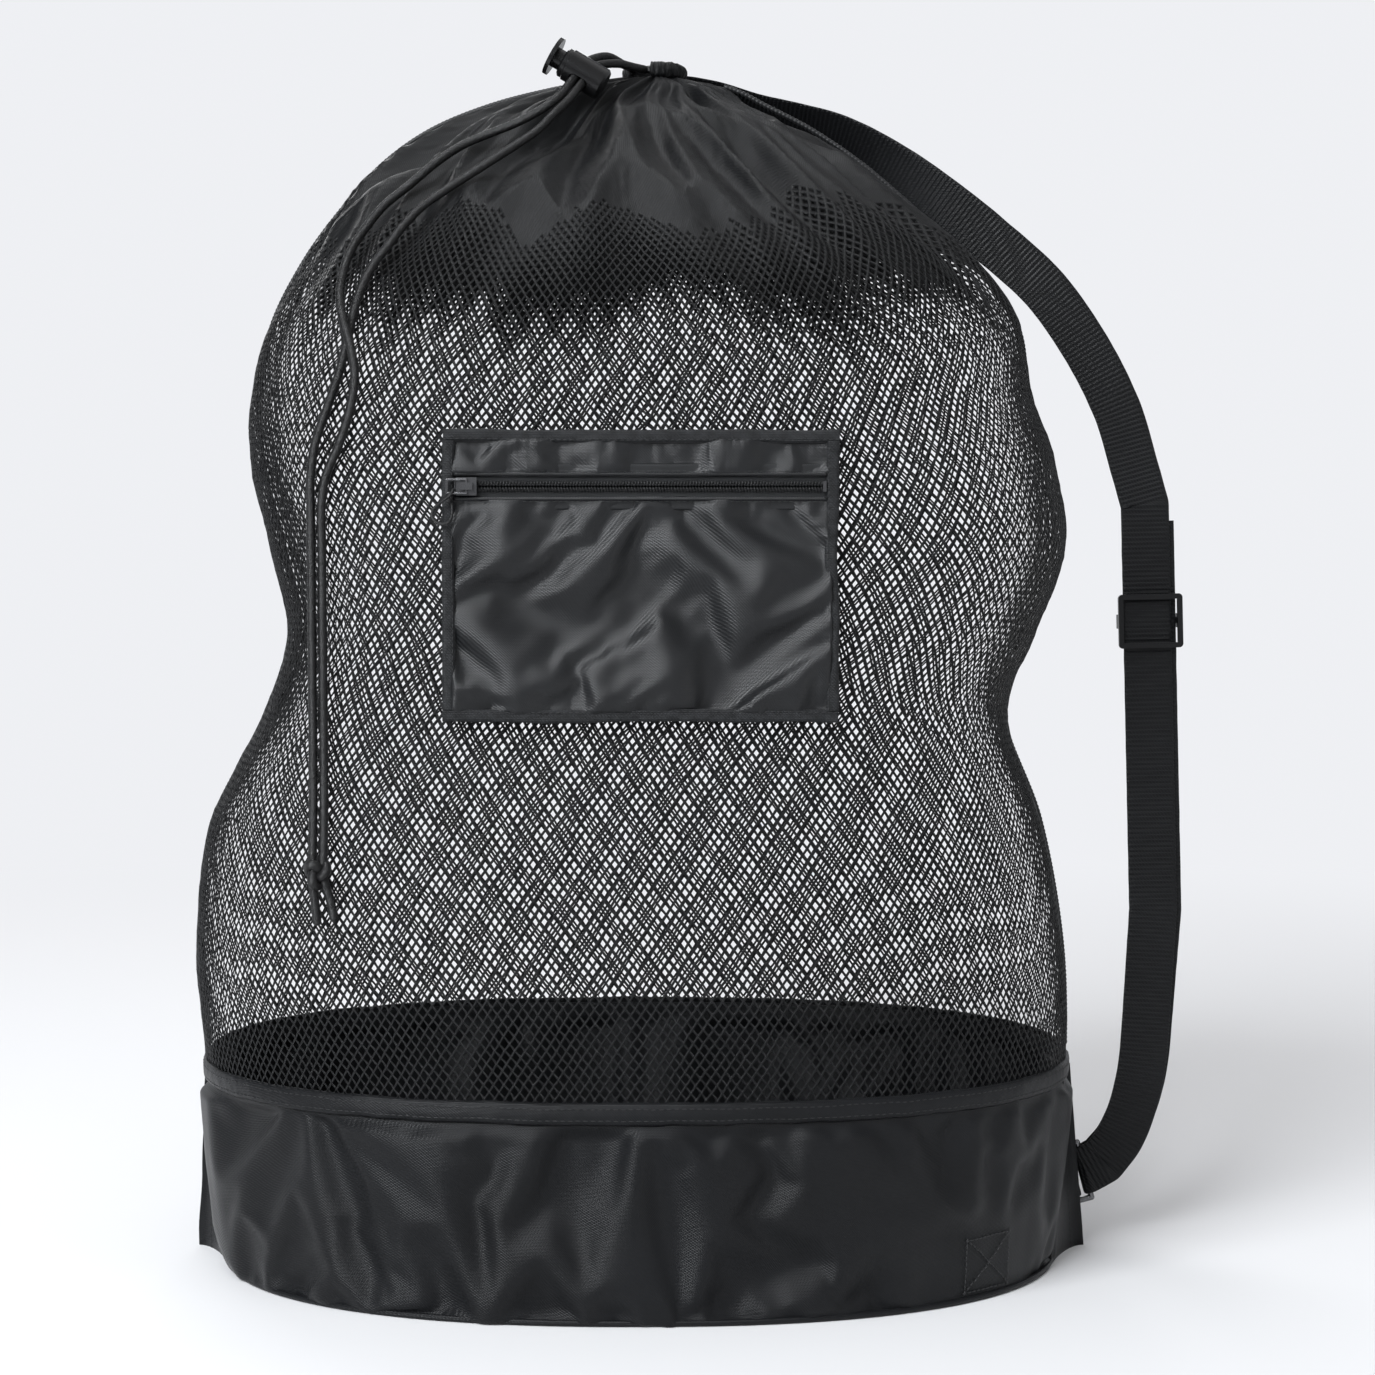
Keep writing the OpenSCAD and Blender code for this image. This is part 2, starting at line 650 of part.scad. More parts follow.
module zip_pull_loop() {
    closed = len(loop_route) - 1;
    function ahead(i) = loop_route[(i + 1) % closed] - loop_route[(i + closed - 1) % closed];
    color(cord_black)
    translate(loop_at) rotate([0, loop_lean, 0])
    for (half = [0, 1])
        loft([for (i = [half * closed / 2 : (half + 1) * closed / 2])
            let (k = i % closed, t = unit(ahead(k)),
                a = unit(loop_route[k] - [0, 0, k == 0 || k == 1 || k == closed - 1 ? -3 : -7]),
                b = unit(cross(t, a)), c = cross(b, t))
            [for (j = [0 : 7]) loop_route[k]
                - loop_d / 2 * (cos(45 * j) * b + sin(45 * j) * c)]]);
}

base_bottom();
base_band_front();
base_band_back();
base_top_binding();
base_side_seam_left();
base_side_seam_right();
mesh_front();
mesh_back();
mesh_side_seam_left();
mesh_side_seam_right();
mouth_hem();
drawcord_loop();
drawcord_tail_left();
drawcord_tail_right();
drawcord_knot();
cord_lock_barrel();
cord_lock_plunger();
cord_lock_spring();
shoulder_strap();
strap_adjuster();
strap_ring();
ring_tab();
anchor_patch();
pocket_back_panel();
pocket_front_panel();
pocket_top_panel();
pocket_binding_top();
pocket_binding_bottom();
pocket_binding_left();
pocket_binding_right();
zip_tape_upper();
zip_tape_lower();
zip_coil_upper();
zip_coil_lower();
zip_end_stops();
zip_slider();
zip_pull_ring();
zip_pull_loop();
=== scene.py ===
"""Looks for the mesh ball bag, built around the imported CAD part.

Lengths are millimetres until mesh_object() turns them into metres. The bag's surface is
described by a section number v, up the bag, and an angle u around it, as in the CAD:
0 right, 90 back, 180 left, 270 front.
"""

import itertools
import math

import bpy
import numpy as np
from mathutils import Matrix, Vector


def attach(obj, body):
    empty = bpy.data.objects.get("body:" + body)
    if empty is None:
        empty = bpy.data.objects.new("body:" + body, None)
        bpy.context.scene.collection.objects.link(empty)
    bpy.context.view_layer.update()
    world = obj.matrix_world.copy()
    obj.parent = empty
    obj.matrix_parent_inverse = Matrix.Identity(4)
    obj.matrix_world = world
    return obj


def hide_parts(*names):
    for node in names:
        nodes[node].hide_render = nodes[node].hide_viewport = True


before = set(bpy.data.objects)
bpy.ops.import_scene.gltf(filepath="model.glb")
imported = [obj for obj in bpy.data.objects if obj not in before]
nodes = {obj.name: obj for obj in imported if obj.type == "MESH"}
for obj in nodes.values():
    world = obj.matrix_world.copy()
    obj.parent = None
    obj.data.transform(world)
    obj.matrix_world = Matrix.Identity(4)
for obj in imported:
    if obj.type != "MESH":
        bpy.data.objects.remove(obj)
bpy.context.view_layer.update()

MM = 0.001
scene = bpy.context.scene


# ---- points and meshes ----


def mesh_object(name, points, faces, material, body="bag"):
    """A piece on a CAD body, from points and a list of face arrays with 3 or 4 columns."""
    mesh = bpy.data.meshes.new(name)
    corners = np.concatenate([np.asarray(f, np.int32).ravel() for f in faces])
    sizes = np.concatenate([np.full(len(f), np.shape(f)[1], np.int32) for f in faces])
    starts = np.concatenate([[0], np.cumsum(sizes)[:-1]]).astype(np.int32)
    mesh.vertices.add(len(points))
    mesh.vertices.foreach_set("co", (np.asarray(points) * MM).astype(np.float32).ravel())
    mesh.loops.add(len(corners))
    mesh.loops.foreach_set("vertex_index", corners)
    mesh.polygons.add(len(sizes))
    mesh.polygons.foreach_set("loop_start", starts)
    mesh.polygons.foreach_set("use_smooth", np.full(len(sizes), True))
    mesh.update(calc_edges=True)
    mesh.materials.append(material)
    obj = bpy.data.objects.new(name, mesh)
    scene.collection.objects.link(obj)
    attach(obj, body)
    return obj


def stand_in(name, node, surface, material, body="bag"):
    """A piece that replaces a CAD node."""
    piece = mesh_object(name, *surface, material, body)
    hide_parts(node)
    return piece


def points_at(*coordinates):
    """Points given by their separate coordinates."""
    return np.stack(np.broadcast_arrays(*coordinates), -1)


def unit(vectors):
    vectors = np.asarray(vectors, float)
    return vectors / np.maximum(np.linalg.norm(vectors, axis=-1, keepdims=True), 1e-9)


def grid_faces(rows, cols, closed=False, first=0, flip=False):
    """Quads of a grid of points, whose last column may join its first."""
    i, j = np.meshgrid(
        np.arange(rows - 1), np.arange(cols if closed else cols - 1), indexing="ij"
    )
    a, b = i * cols + j, i * cols + (j + 1) % cols
    quads = np.stack([a, b, b + cols, a + cols], -1).reshape(-1, 4) + first
    return quads[:, ::-1] if flip else quads


def grid_normals(grid):
    """Normals of a grid of points, towards the viewer of rows going up and columns going right."""
    along, up = np.gradient(grid, axis=1), np.gradient(grid, axis=0)
    return unit(np.cross(along, up))


def shell(grid, thickness, inner=None):
    """Points and faces of a sheet with that grid as its outside, and perhaps a given inside."""
    rows, cols = grid.shape[:2]
    n = rows * cols
    if inner is None:
        inner = grid - thickness * grid_normals(grid)
    at = np.arange(n).reshape(rows, cols)
    rim = np.concatenate([at[0, :-1], at[:-1, -1], at[-1, :0:-1], at[:0:-1, 0]])
    after = np.roll(rim, -1)
    return np.concatenate([grid.reshape(-1, 3), inner.reshape(-1, 3)]), [
        grid_faces(rows, cols),
        grid_faces(rows, cols, first=n, flip=True),
        np.stack([after, rim, rim + n, after + n], -1),
    ]


def join(parts):
    """One set of points and faces from several."""
    points, faces, first = [], [], 0
    for p, fs in parts:
        p = np.asarray(p).reshape(-1, 3)
        points.append(p)
        faces += [np.asarray(f) + first for f in fs]
        first += len(p)
    return np.concatenate(points), faces


def smooth_rows(rows, v):
    """Values of a table of rows at fractional row numbers v, on the CAD's smooth curve."""
    rows, v = np.asarray(rows, float), np.asarray(v, float)
    table = np.concatenate([[2 * rows[0] - rows[1]], rows, [2 * rows[-1] - rows[-2]]])
    i = np.clip(np.floor(v).astype(int), 0, len(rows) - 2)
    t = (v - i)[..., None]
    a, b, c, d = (table[i + k] for k in range(4))
    return 0.5 * (
        2 * b + (c - a) * t + (2 * a - 5 * b + 4 * c - d) * t**2
        + (3 * b - a - 3 * c + d) * t**3
    )


def distances(points):
    """How far along a polyline each of its points is."""
    return np.r_[0, np.cumsum(np.linalg.norm(np.diff(points[:, :3], axis=0), axis=1))]


def evenly(points, step):
    """Points that step apart along a polyline."""
    far = distances(points)
    count = max(2, int(round(far[-1] / step)) + 1)
    at = np.linspace(0, far[-1], count)
    return np.stack([np.interp(at, far, column) for column in points.T], -1)


def curve(route, step):
    """Points that step apart along the smooth curve through a route."""
    return evenly(smooth_rows(route, np.linspace(0, len(route) - 1, 16 * len(route))), step)


def frames(points):
    """Direction, side and up at each point, turning as little as they can along the way."""
    along = unit(np.gradient(points, axis=0))
    start = [0, 0, 1] if abs(along[0][2]) < 0.8 else [0, 1, 0]
    side = unit(np.cross(start, along[0]))
    sides = []
    for t in along:
        side = unit(side - t * (side @ t))
        sides.append(side)
    sides = np.array(sides)
    return along, sides, np.cross(along, sides)


def full_turn(sides):
    """Evenly spread angles once round, in radians."""
    return 2 * np.pi * np.arange(sides) / sides


def capped(ring, start, end):
    """Points and faces of a round surface whose two ends close to a point."""
    rows, sides = ring.shape[:2]
    n = rows * sides
    j = np.arange(sides)
    k = np.roll(j, -1)
    caps = np.concatenate([
        np.stack([np.full(sides, n), k, j], -1),
        np.stack([np.full(sides, n + 1), n - sides + j, n - sides + k], -1),
    ])
    return np.concatenate([ring.reshape(-1, 3), start, end]), [
        grid_faces(rows, sides, closed=True), caps
    ]


def tube(points, radius, sides=12, closed=False):
    """Points and faces of a round tube. radius is a number or an array for each point and side."""
    _, side, up = frames(points)
    angle = full_turn(sides)
    radius = np.broadcast_to(radius, (len(points), sides))[..., None]
    ring = (
        points[:, None]
        + radius * (np.cos(angle)[:, None] * side[:, None] + np.sin(angle)[:, None] * up[:, None])
    )
    if closed:
        last = (len(points) - 1) * sides
        j = np.arange(sides)
        k = np.roll(j, -1)
        join_up = np.stack([last + j, last + k, k, j], -1)
        return ring.reshape(-1, 3), [grid_faces(len(points), sides, closed=True), join_up]
    return capped(ring, points[:1], points[-1:])


# ---- noise ----

rng = np.random.default_rng(11)
SHUFFLE = rng.permutation(256)
SLOPES = unit(rng.normal(size=(256, 3)))


def noise(points):
    """Smooth noise from about -1 to 1, with features about one unit across."""
    points = np.asarray(points, float)
    cell = np.floor(points).astype(int)
    f = points - cell
    w = f**3 * (f * (f * 6 - 15) + 10)
    total = 0
    for corner in itertools.product((0, 1), repeat=3):
        x, y, z = (cell[..., k] + corner[k] for k in range(3))
        slope = SLOPES[SHUFFLE[(SHUFFLE[(SHUFFLE[x & 255] + y) & 255] + z) & 255]]
        share = np.prod(np.where(corner, w, 1 - w), axis=-1)
        total = total + share * (slope * (f - corner)).sum(-1)
    return 1.6 * total


def noise_at(*coordinates):
    """Noise at points given by their separate coordinates."""
    return noise(points_at(*coordinates))


def creases(points):
    """Ridged noise from about -1 to 1: sharp folds with soft faces between them."""
    bend = 0.35 * noise(points * 0.7 + 31.7)
    points = points + bend[..., None]
    return (
        0.9 - 1.9 * np.abs(noise(points)) + 0.45 * (0.5 - np.abs(noise(points * 2.1 + 7.3)))
    )


def ease(low, high, x):
    t = np.clip((np.asarray(x, float) - low) / (high - low), 0, 1)
    return t * t * (3 - 2 * t)


# ---- the bag's surface ----

# Each section: height, reach left, reach right, reach front and back, roundness.
SECTIONS = [
    [0, 206, 206, 150, 2.3], [50, 212, 209, 152, 2.3], [100, 216, 212, 153, 2.35],
    [155, 220, 210, 155, 2.4], [215, 213, 199, 150, 2.5], [270, 184, 180, 147, 3.2],
    [310, 170, 192, 146, 3.8], [350, 177, 205, 146, 4.2], [390, 187, 201, 145, 3.8],
    [425, 189, 192, 142, 3], [460, 183, 187, 134, 2.6], [492, 167, 166, 119, 2.4],
    [518, 148, 136, 99, 2.3], [540, 128, 110, 77, 2.2], [557, 104, 85, 56, 2.1],
    [569, 75, 62, 38, 2], [577, 44, 46, 27, 2], [583, 10.6, 24.6, 17.6, 2],
]
BAND_END, MESH_END = 2, len(SECTIONS) - 1


def skin(v, u):
    """The bag's outside at section number v and angle u in degrees."""
    v, u = np.broadcast_arrays(np.asarray(v, float), np.asarray(u, float))
    s = smooth_rows(SECTIONS, v)
    c, d = np.cos(np.radians(u)), np.sin(np.radians(u))
    e = 2 / s[..., 4]
    height, left, right, deep = (s[..., k] for k in range(4))
    x = (right - left) / 2 + (right + left) / 2 * np.sign(c) * np.abs(c) ** e
    return np.stack([x, deep * np.sign(d) * np.abs(d) ** e, height], -1)


def skin_normal(v, u):
    v = np.minimum(v, MESH_END - 0.02)
    along = skin(v, u + 0.6) - skin(v, u - 0.6)
    return unit(np.cross(along, skin(v + 0.02, u) - skin(v, u)))


def off_skin(v, u, out):
    return skin(v, u) + np.asarray(out)[..., None] * skin_normal(v, u)


def spread_angles(v, share, half):
    """Angles at which each row has its points evenly far apart: half 0 is the back, 1 the front."""
    fine = np.linspace(180 * half, 180 * half + 180, 1441)
    result = []
    for row in v:
        far = distances(skin(row, fine))
        result.append(np.interp(share * far[-1], far, fine))
    return np.array(result)


def surface_grid(v, columns, half):
    """Section numbers and angles of an even grid over one half of the bag."""
    u = spread_angles(v, np.linspace(0, 1, columns), half)
    return np.broadcast_to(v[:, None], u.shape), u


# ---- materials: fabric, cord, plastic and metal, all procedural ----


def add_node(tree, kind, **inputs):
    """A new shader node, whose inputs are set to values or linked to other nodes' outputs."""
    made = tree.nodes.new("ShaderNode" + kind)
    for name, value in inputs.items():
        socket = made.inputs[name.replace("_", " ")]
        if isinstance(value, bpy.types.NodeSocket):
            tree.links.new(value, socket)
        else:
            socket.default_value = value
    return made


def new_material(name, colour, roughness, specular=0.5, metallic=0.0, sheen=0.0):
    material = bpy.data.materials.new(name)
    material.use_nodes = True
    shader = material.node_tree.nodes["Principled BSDF"]
    for socket, value in {
        "Base Color": (*colour, 1), "Roughness": roughness, "Specular IOR Level": specular,
        "Metallic": metallic, "Sheen Weight": sheen, "Sheen Roughness": 0.4,
    }.items():
        shader.inputs[socket].default_value = value
    return material, material.node_tree, shader


def object_points(tree):
    return add_node(tree, "TexCoord").outputs["Object"]


def noise_node(tree, where, scale, detail=3.0):
    return add_node(tree, "TexNoise", Scale=scale, Detail=detail, Vector=where).outputs["Fac"]


def thread_node(tree, where, scale, direction):
    made = add_node(tree, "TexWave", Scale=scale, Vector=where)
    made.bands_direction = direction
    return made.outputs["Fac"]


def add(tree, a, b):
    made = add_node(tree, "Math")
    tree.links.new(a, made.inputs[0])
    tree.links.new(b, made.inputs[1])
    return made.outputs["Value"]


def ramp(tree, factor, low, high, start=0.3, end=0.7):
    """A colour that goes from low to high as the factor goes from start to end."""
    made = add_node(tree, "ValToRGB", Fac=factor)
    for element, position, colour in zip(made.color_ramp.elements, (start, end), (low, high)):
        element.position = position
        element.color = (*colour, 1)
    return made.outputs["Color"]


def bump(tree, shader, height, distance):
    made = add_node(tree, "Bump", Distance=distance, Strength=1.0, Height=height)
    tree.links.new(made.outputs["Normal"], shader.inputs["Normal"])


def fabric_material(name, dark, light, roughness, weave, depth, sheen, specular, grain=22):
    """Woven fabric: two thread directions, uneven colour, and a slightly uneven gloss."""
    material, tree, shader = new_material(name, dark, roughness, specular, 0, sheen)
    where = object_points(tree)
    patch = ramp(tree, noise_node(tree, where, grain, 4), dark, light)
    tree.links.new(patch, shader.inputs["Base Color"])
    gloss = add_node(
        tree, "MapRange", To_Min=roughness - 0.06, To_Max=roughness + 0.08,
        Value=noise_node(tree, where, 60),
    )
    tree.links.new(gloss.outputs["Result"], shader.inputs["Roughness"])
    threads = add(
        tree, thread_node(tree, where, weave, "Z"), thread_node(tree, where, weave, "DIAGONAL")
    )
    bump(tree, shader, add(tree, threads, noise_node(tree, where, 900, 2)), depth)
    return material


def plastic_material(name, colour, roughness, metallic=0.0):
    """Moulded plastic or painted metal with a fine grain and slightly uneven colour."""
    material, tree, shader = new_material(name, colour, roughness, 0.35, metallic)
    where = object_points(tree)
    bump(tree, shader, noise_node(tree, where, 1400, 2), 0.00004)
    light = tuple(1.25 * c for c in colour)
    patch = ramp(tree, noise_node(tree, where, 90), colour, light)
    tree.links.new(patch, shader.inputs["Base Color"])
    return material


coated = fabric_material(
    "coated_fabric", (0.0032, 0.0035, 0.0042), (0.0052, 0.0057, 0.0068),
    0.38, 520, 0.00008, 0.02, 0.2,
)
pocket_fabric = fabric_material(
    "pocket_fabric", (0.0032, 0.0036, 0.0044), (0.0055, 0.0061, 0.0072),
    0.35, 520, 0.00007, 0.02, 0.38,
)
binding = fabric_material(
    "binding_tape", (0.004, 0.0043, 0.005), (0.015, 0.016, 0.0175),
    0.55, 420, 0.00014, 0.05, 0.24, 330,
)
webbing = fabric_material(
    "webbing", (0.0026, 0.0028, 0.0034), (0.0048, 0.0052, 0.006),
    0.42, 380, 0.0001, 0.04, 0.2,
)
cord_fabric = fabric_material(
    "braided_cord", (0.0014, 0.0014, 0.0016), (0.008, 0.008, 0.0085),
    0.28, 700, 0.00008, 0.02, 0.42, 480,
)
tape_fabric = fabric_material(
    "zip_tape", (0.009, 0.0096, 0.0105), (0.013, 0.0138, 0.015),
    0.6, 600, 0.0001, 0.05, 0.3,
)
net_thread = fabric_material(
    "diamond_mesh", (0.0028, 0.003, 0.0034), (0.0052, 0.0055, 0.0062),
    0.36, 640, 0.0001, 0.02, 0.22,
)
thread = new_material("stitch_thread", (0.011, 0.0115, 0.0125), 0.5, 0.4, 0, 0.05)[0]
coil_plastic = plastic_material("zip_coil", (0.0075, 0.0075, 0.008), 0.35)
lock_plastic = plastic_material("lock_plastic", (0.0045, 0.0045, 0.0048), 0.25)
buckle_plastic = plastic_material("buckle_plastic", (0.0055, 0.0055, 0.006), 0.32)
black_metal = plastic_material("black_metal", (0.13, 0.13, 0.135), 0.2, 0.9)
spring_steel = new_material("spring_steel", (0.45, 0.45, 0.46), 0.3, 0.5, 1.0)[0]

CAD_LOOKS = {
    "cord_lock_barrel": lock_plastic, "cord_lock_plunger": lock_plastic,
    "cord_lock_spring": spring_steel, "strap_adjuster": buckle_plastic,
    "strap_ring": black_metal, "zip_end_stops": black_metal, "zip_slider": black_metal,
    "zip_pull_ring": black_metal, "drawcord_loop": cord_fabric,
}
for name, material in CAD_LOOKS.items():
    nodes[name].data.materials.clear()
    nodes[name].data.materials.append(material)


# ---- camera ----

camera_data = bpy.data.cameras.new("camera")
camera_data.sensor_width = 36
camera_data.lens = 69.64
camera_data.clip_end = 50
camera = bpy.data.objects.new("camera", camera_data)
camera.location = (0.02325, -1.33, 0.3335)
camera.rotation_euler = (math.radians(87.75), 0, 0)
scene.collection.objects.link(camera)
scene.camera = camera


# ---- drawcord ----

CORD_D, CORD_STEP = 4.2, 0.42
BRAID_SIDES, CARRIERS, BRAID_PITCH, BRAID_DEPTH = 24, 6, 11.0, 0.42
NECK_X, NECK_Z, HEM_R = 7, 585.5, 12.3
LOCK_AT = np.array([-26.5, -47, 577])
LOCK_TILT, LOCK_TURN = math.radians(-59.6), math.radians(-134.4)
LOCK_AXIS = np.array([math.sin(LOCK_TILT), 0, math.cos(LOCK_TILT)])
LOCK_HOLE = np.array([
    math.cos(LOCK_TURN) * math.cos(LOCK_TILT), math.sin(LOCK_TURN),
    -math.cos(LOCK_TURN) * math.sin(LOCK_TILT),
])


def around_neck(r, degrees, z):
    a = np.radians(degrees)
    return points_at(NECK_X + r * np.cos(a), r * np.sin(a), z)


def in_lock(side, s):
    return LOCK_AT + side * 2.25 * LOCK_AXIS + s * LOCK_HOLE


TAIL_LEFT = [
    around_neck(HEM_R, 225, NECK_Z), [-8, -17, 587], [-16, -27, 589],
    *(in_lock(1, s) for s in (-10, 0, 12, 24)),
    [-44, -69, 557], [-57, -69, 550], [-70, -68, 545], [-83, -70, 539], [-95, -75, 530],
    [-107, -79, 519], [-118, -84, 509], [-126, -89, 498], [-132, -95, 487],
    [-135, -103, 475], [-135, -114, 463], [-132, -124, 451], [-128, -130, 439],
    [-126, -133, 426], [-128, -135, 411], [-133, -136, 395], [-139, -135, 381],
    [-141, -135, 367], [-141, -134, 352], [-141, -133, 336], [-141, -133, 320],
    [-141, -132, 304], [-141, -132, 288], [-141, -131, 272], [-141, -131, 256],
    [-141, -131, 240], [-141, -132, 225], [-141, -134, 213], [-141, -136, 202],
    [-138, -135, 191], [-136, -135, 181],
]
TAIL_RIGHT = [
    around_neck(HEM_R, 250, NECK_Z), [-3, -21, 585], [-11, -30, 585],
    *(in_lock(-1, s) for s in (-10, 0, 12, 24)),
    [-40, -72, 553], [-47, -77, 545], [-56, -81, 538], [-67, -86, 530], [-80, -90, 521],
    [-90, -93, 514], [-99, -96, 507], [-107, -100, 498], [-114, -104, 488],
    [-121, -107, 478], [-126, -112, 466], [-129, -116, 454], [-131, -121, 442],
    [-134, -125, 428], [-139, -129, 412], [-144, -132, 396], [-146, -133, 381],
    [-146, -133, 367], [-146, -133, 352], [-146, -132, 336], [-146, -132, 320],
    [-146, -131, 304], [-146, -131, 288], [-146, -130, 272], [-146, -130, 256],
    [-146, -130, 240], [-146, -131, 225], [-146, -133, 213], [-146, -135, 202],
    [-145, -134, 190], [-144, -133, 179],
]
KNOT_AT = np.array([-143.5, -136, 203])


def braided(points):
    """A braided cord's tube: strands that pass over and under each other."""
    far = np.arange(len(points))[:, None] * CORD_STEP / BRAID_PITCH * CARRIERS
    turn = CARRIERS * np.arange(BRAID_SIDES)[None] / BRAID_SIDES
    right, left = turn + far, turn - far
    over = (np.floor(right) + np.floor(left)) % 2 > 0
    strand = np.where(over, right, left) % 1
    radius = CORD_D / 2 - BRAID_DEPTH + BRAID_DEPTH * np.sin(np.pi * strand) ** 0.7
    ends = np.minimum(np.arange(len(points)), np.arange(len(points))[::-1]) * CORD_STEP
    return tube(points, radius * (0.55 + 0.45 * ease(-0.3, 1.2, ends))[:, None], BRAID_SIDES)


def cord_row(path):
    path = path * MM


knot_turn = full_turn(240)
knot_line = KNOT_AT + points_at(
    1.55 * (np.sin(knot_turn) + 2 * np.sin(2 * knot_turn)),
    -2.4 * np.sin(3 * knot_turn),
    1.95 * (np.cos(knot_turn) - 2 * np.cos(2 * knot_turn)),
)
knot = stand_in(
    "cord_knot", "drawcord_knot", tube(knot_line, 2.25, 16, closed=True), cord_fabric
)

for name, route in (("left", TAIL_LEFT), ("right", TAIL_RIGHT)):
    tail = stand_in(
        f"cord_tail_{name}", f"drawcord_tail_{name}", braided(curve(route, CORD_STEP)),
        cord_fabric,
    )
    cord_row(curve(route, 6))

casing_line = around_neck(HEM_R, np.linspace(250, 585, 60), NECK_Z)
ring_cord = stand_in(
    "cord_in_casing", "drawcord_loop", braided(evenly(casing_line, CORD_STEP)), cord_fabric
)
cord_row(evenly(casing_line, 3.2))


# ---- stitches, gathered by piece and made at the end ----

PIP = [(-1, 0.05), (-0.75, 0.62), (0, 1), (0.75, 0.62), (1, 0.05)]
stitching = {}


def stitches(group, path, normals, pitch=3.2, length=2.3, width=0.55, lift=0.12):
    """Thread that lies in short stitches along a path."""
    rows = evenly(np.concatenate([path, np.broadcast_to(normals, path.shape)], -1), pitch)
    at, out = rows[:, :3], unit(rows[:, 3:])
    along = unit(np.gradient(at, axis=0))
    side = unit(np.cross(along, out))
    sides = 6
    angle = full_turn(sides)
    points = []
    for reach, wide in PIP:
        ring = (
            at[:, None] + out[:, None] * lift + along[:, None] * reach * length / 2
            + wide * width / 2
            * (np.cos(angle)[:, None] * side[:, None] + 0.8 * np.sin(angle)[:, None] * out[:, None])
        )
        points.append(ring)
    points = np.stack(points, 1)
    one = grid_faces(len(PIP), sides, closed=True)
    first = np.arange(len(at))[:, None, None] * len(PIP) * sides
    stitching.setdefault(group, []).append(
        (points.reshape(-1, 3), [(one[None] + first).reshape(-1, 4)])
    )


# ---- rumpled fabric ----


def refine_grid(grid, k):
    """A finer grid on the smooth surface through a grid of points."""
    rows, cols = grid.shape[:2]
    up = smooth_rows(grid.reshape(rows, -1), np.linspace(0, rows - 1, (rows - 1) * k + 1))
    up = up.reshape(-1, cols, 3).transpose(1, 0, 2)
    right = smooth_rows(up.reshape(cols, -1), np.linspace(0, cols - 1, (cols - 1) * k + 1))
    return right.reshape(-1, (rows - 1) * k + 1, 3).transpose(1, 0, 2)


SLANT = np.array([
    [math.cos(0.6), 0, -math.sin(0.6)], [0, 1, 0], [math.sin(0.6), 0, math.cos(0.6)]
])
CLOTH_SCALE = 0.01


def rumple(grid, growth, frames_run, cap, seed, bending, nudge, wave, stretch, soften):
    """A grid held along its edges, after it has grown in its own plane and buckled.

    A point moves by at most the cap, in either direction.
    """
    rows, cols = grid.shape[:2]
    normals = grid_normals(grid)
    slanted = (grid @ SLANT) * stretch / wave
    start = noise(slanted + seed) + 0.4 * noise(slanted * 2.1 + seed + 9)
    inside = np.ones((rows, cols))
    inside[:1] = inside[-1:] = 0
    inside[:, :1] = inside[:, -1:] = 0
    moved = grid + normals * (nudge * start * inside)[..., None]
    mesh = bpy.data.meshes.new("rumple")
    moved = moved.reshape(-1, 3) * CLOTH_SCALE
    mesh.from_pydata(moved.tolist(), [], grid_faces(rows, cols).tolist())
    cloth = bpy.data.objects.new("rumple", mesh)
    scene.collection.objects.link(cloth)
    held = cloth.vertex_groups.new(name="held")
    held.add(np.flatnonzero(inside.ravel() == 0).tolist(), 1.0, "REPLACE")
    modifier = cloth.modifiers.new("cloth", "CLOTH")
    settings = modifier.settings
    settings.quality = 6
    settings.mass = 0.3
    settings.air_damping = 2
    settings.tension_stiffness = settings.compression_stiffness = 40
    settings.shear_stiffness = 20
    settings.bending_stiffness = bending
    settings.vertex_group_mass = "held"
    settings.shrink_min = settings.shrink_max = -growth
    settings.effector_weights.gravity = 0
    modifier.collision_settings.use_collision = False
    modifier.collision_settings.use_self_collision = False
    modifier.point_cache.frame_start = 1
    modifier.point_cache.frame_end = frames_run
    for step in range(1, frames_run + 1):
        scene.frame_set(step)
    shown = cloth.evaluated_get(bpy.context.evaluated_depsgraph_get())
    flat = np.zeros(rows * cols * 3, np.float32)
    shown.data.vertices.foreach_get("co", flat)
    bpy.data.objects.remove(cloth)
    bpy.data.meshes.remove(mesh)
    scene.frame_set(1)
    shift = flat.reshape(grid.shape) / CLOTH_SCALE - grid
    up, over = (np.pi * np.linspace(0, 1, k) for k in (rows, cols))
    for m, n in itertools.product((1, 2), (1, 2)):
        dome = (np.sin(m * up)[:, None] * np.sin(n * over)[None])[..., None]
        shift = shift - 0.85 * dome * 4 * (shift * dome).mean((0, 1))
    for _ in range(soften):
        near = (shift[:-2, 1:-1] + shift[2:, 1:-1] + shift[1:-1, :-2] + shift[1:-1, 2:]) / 4
        shift[1:-1, 1:-1] += 0.5 * (near - shift[1:-1, 1:-1])
    far = np.linalg.norm(shift, axis=-1, keepdims=True)
    return grid + shift * (cap * np.tanh(far / cap) / np.maximum(far, 1e-6))


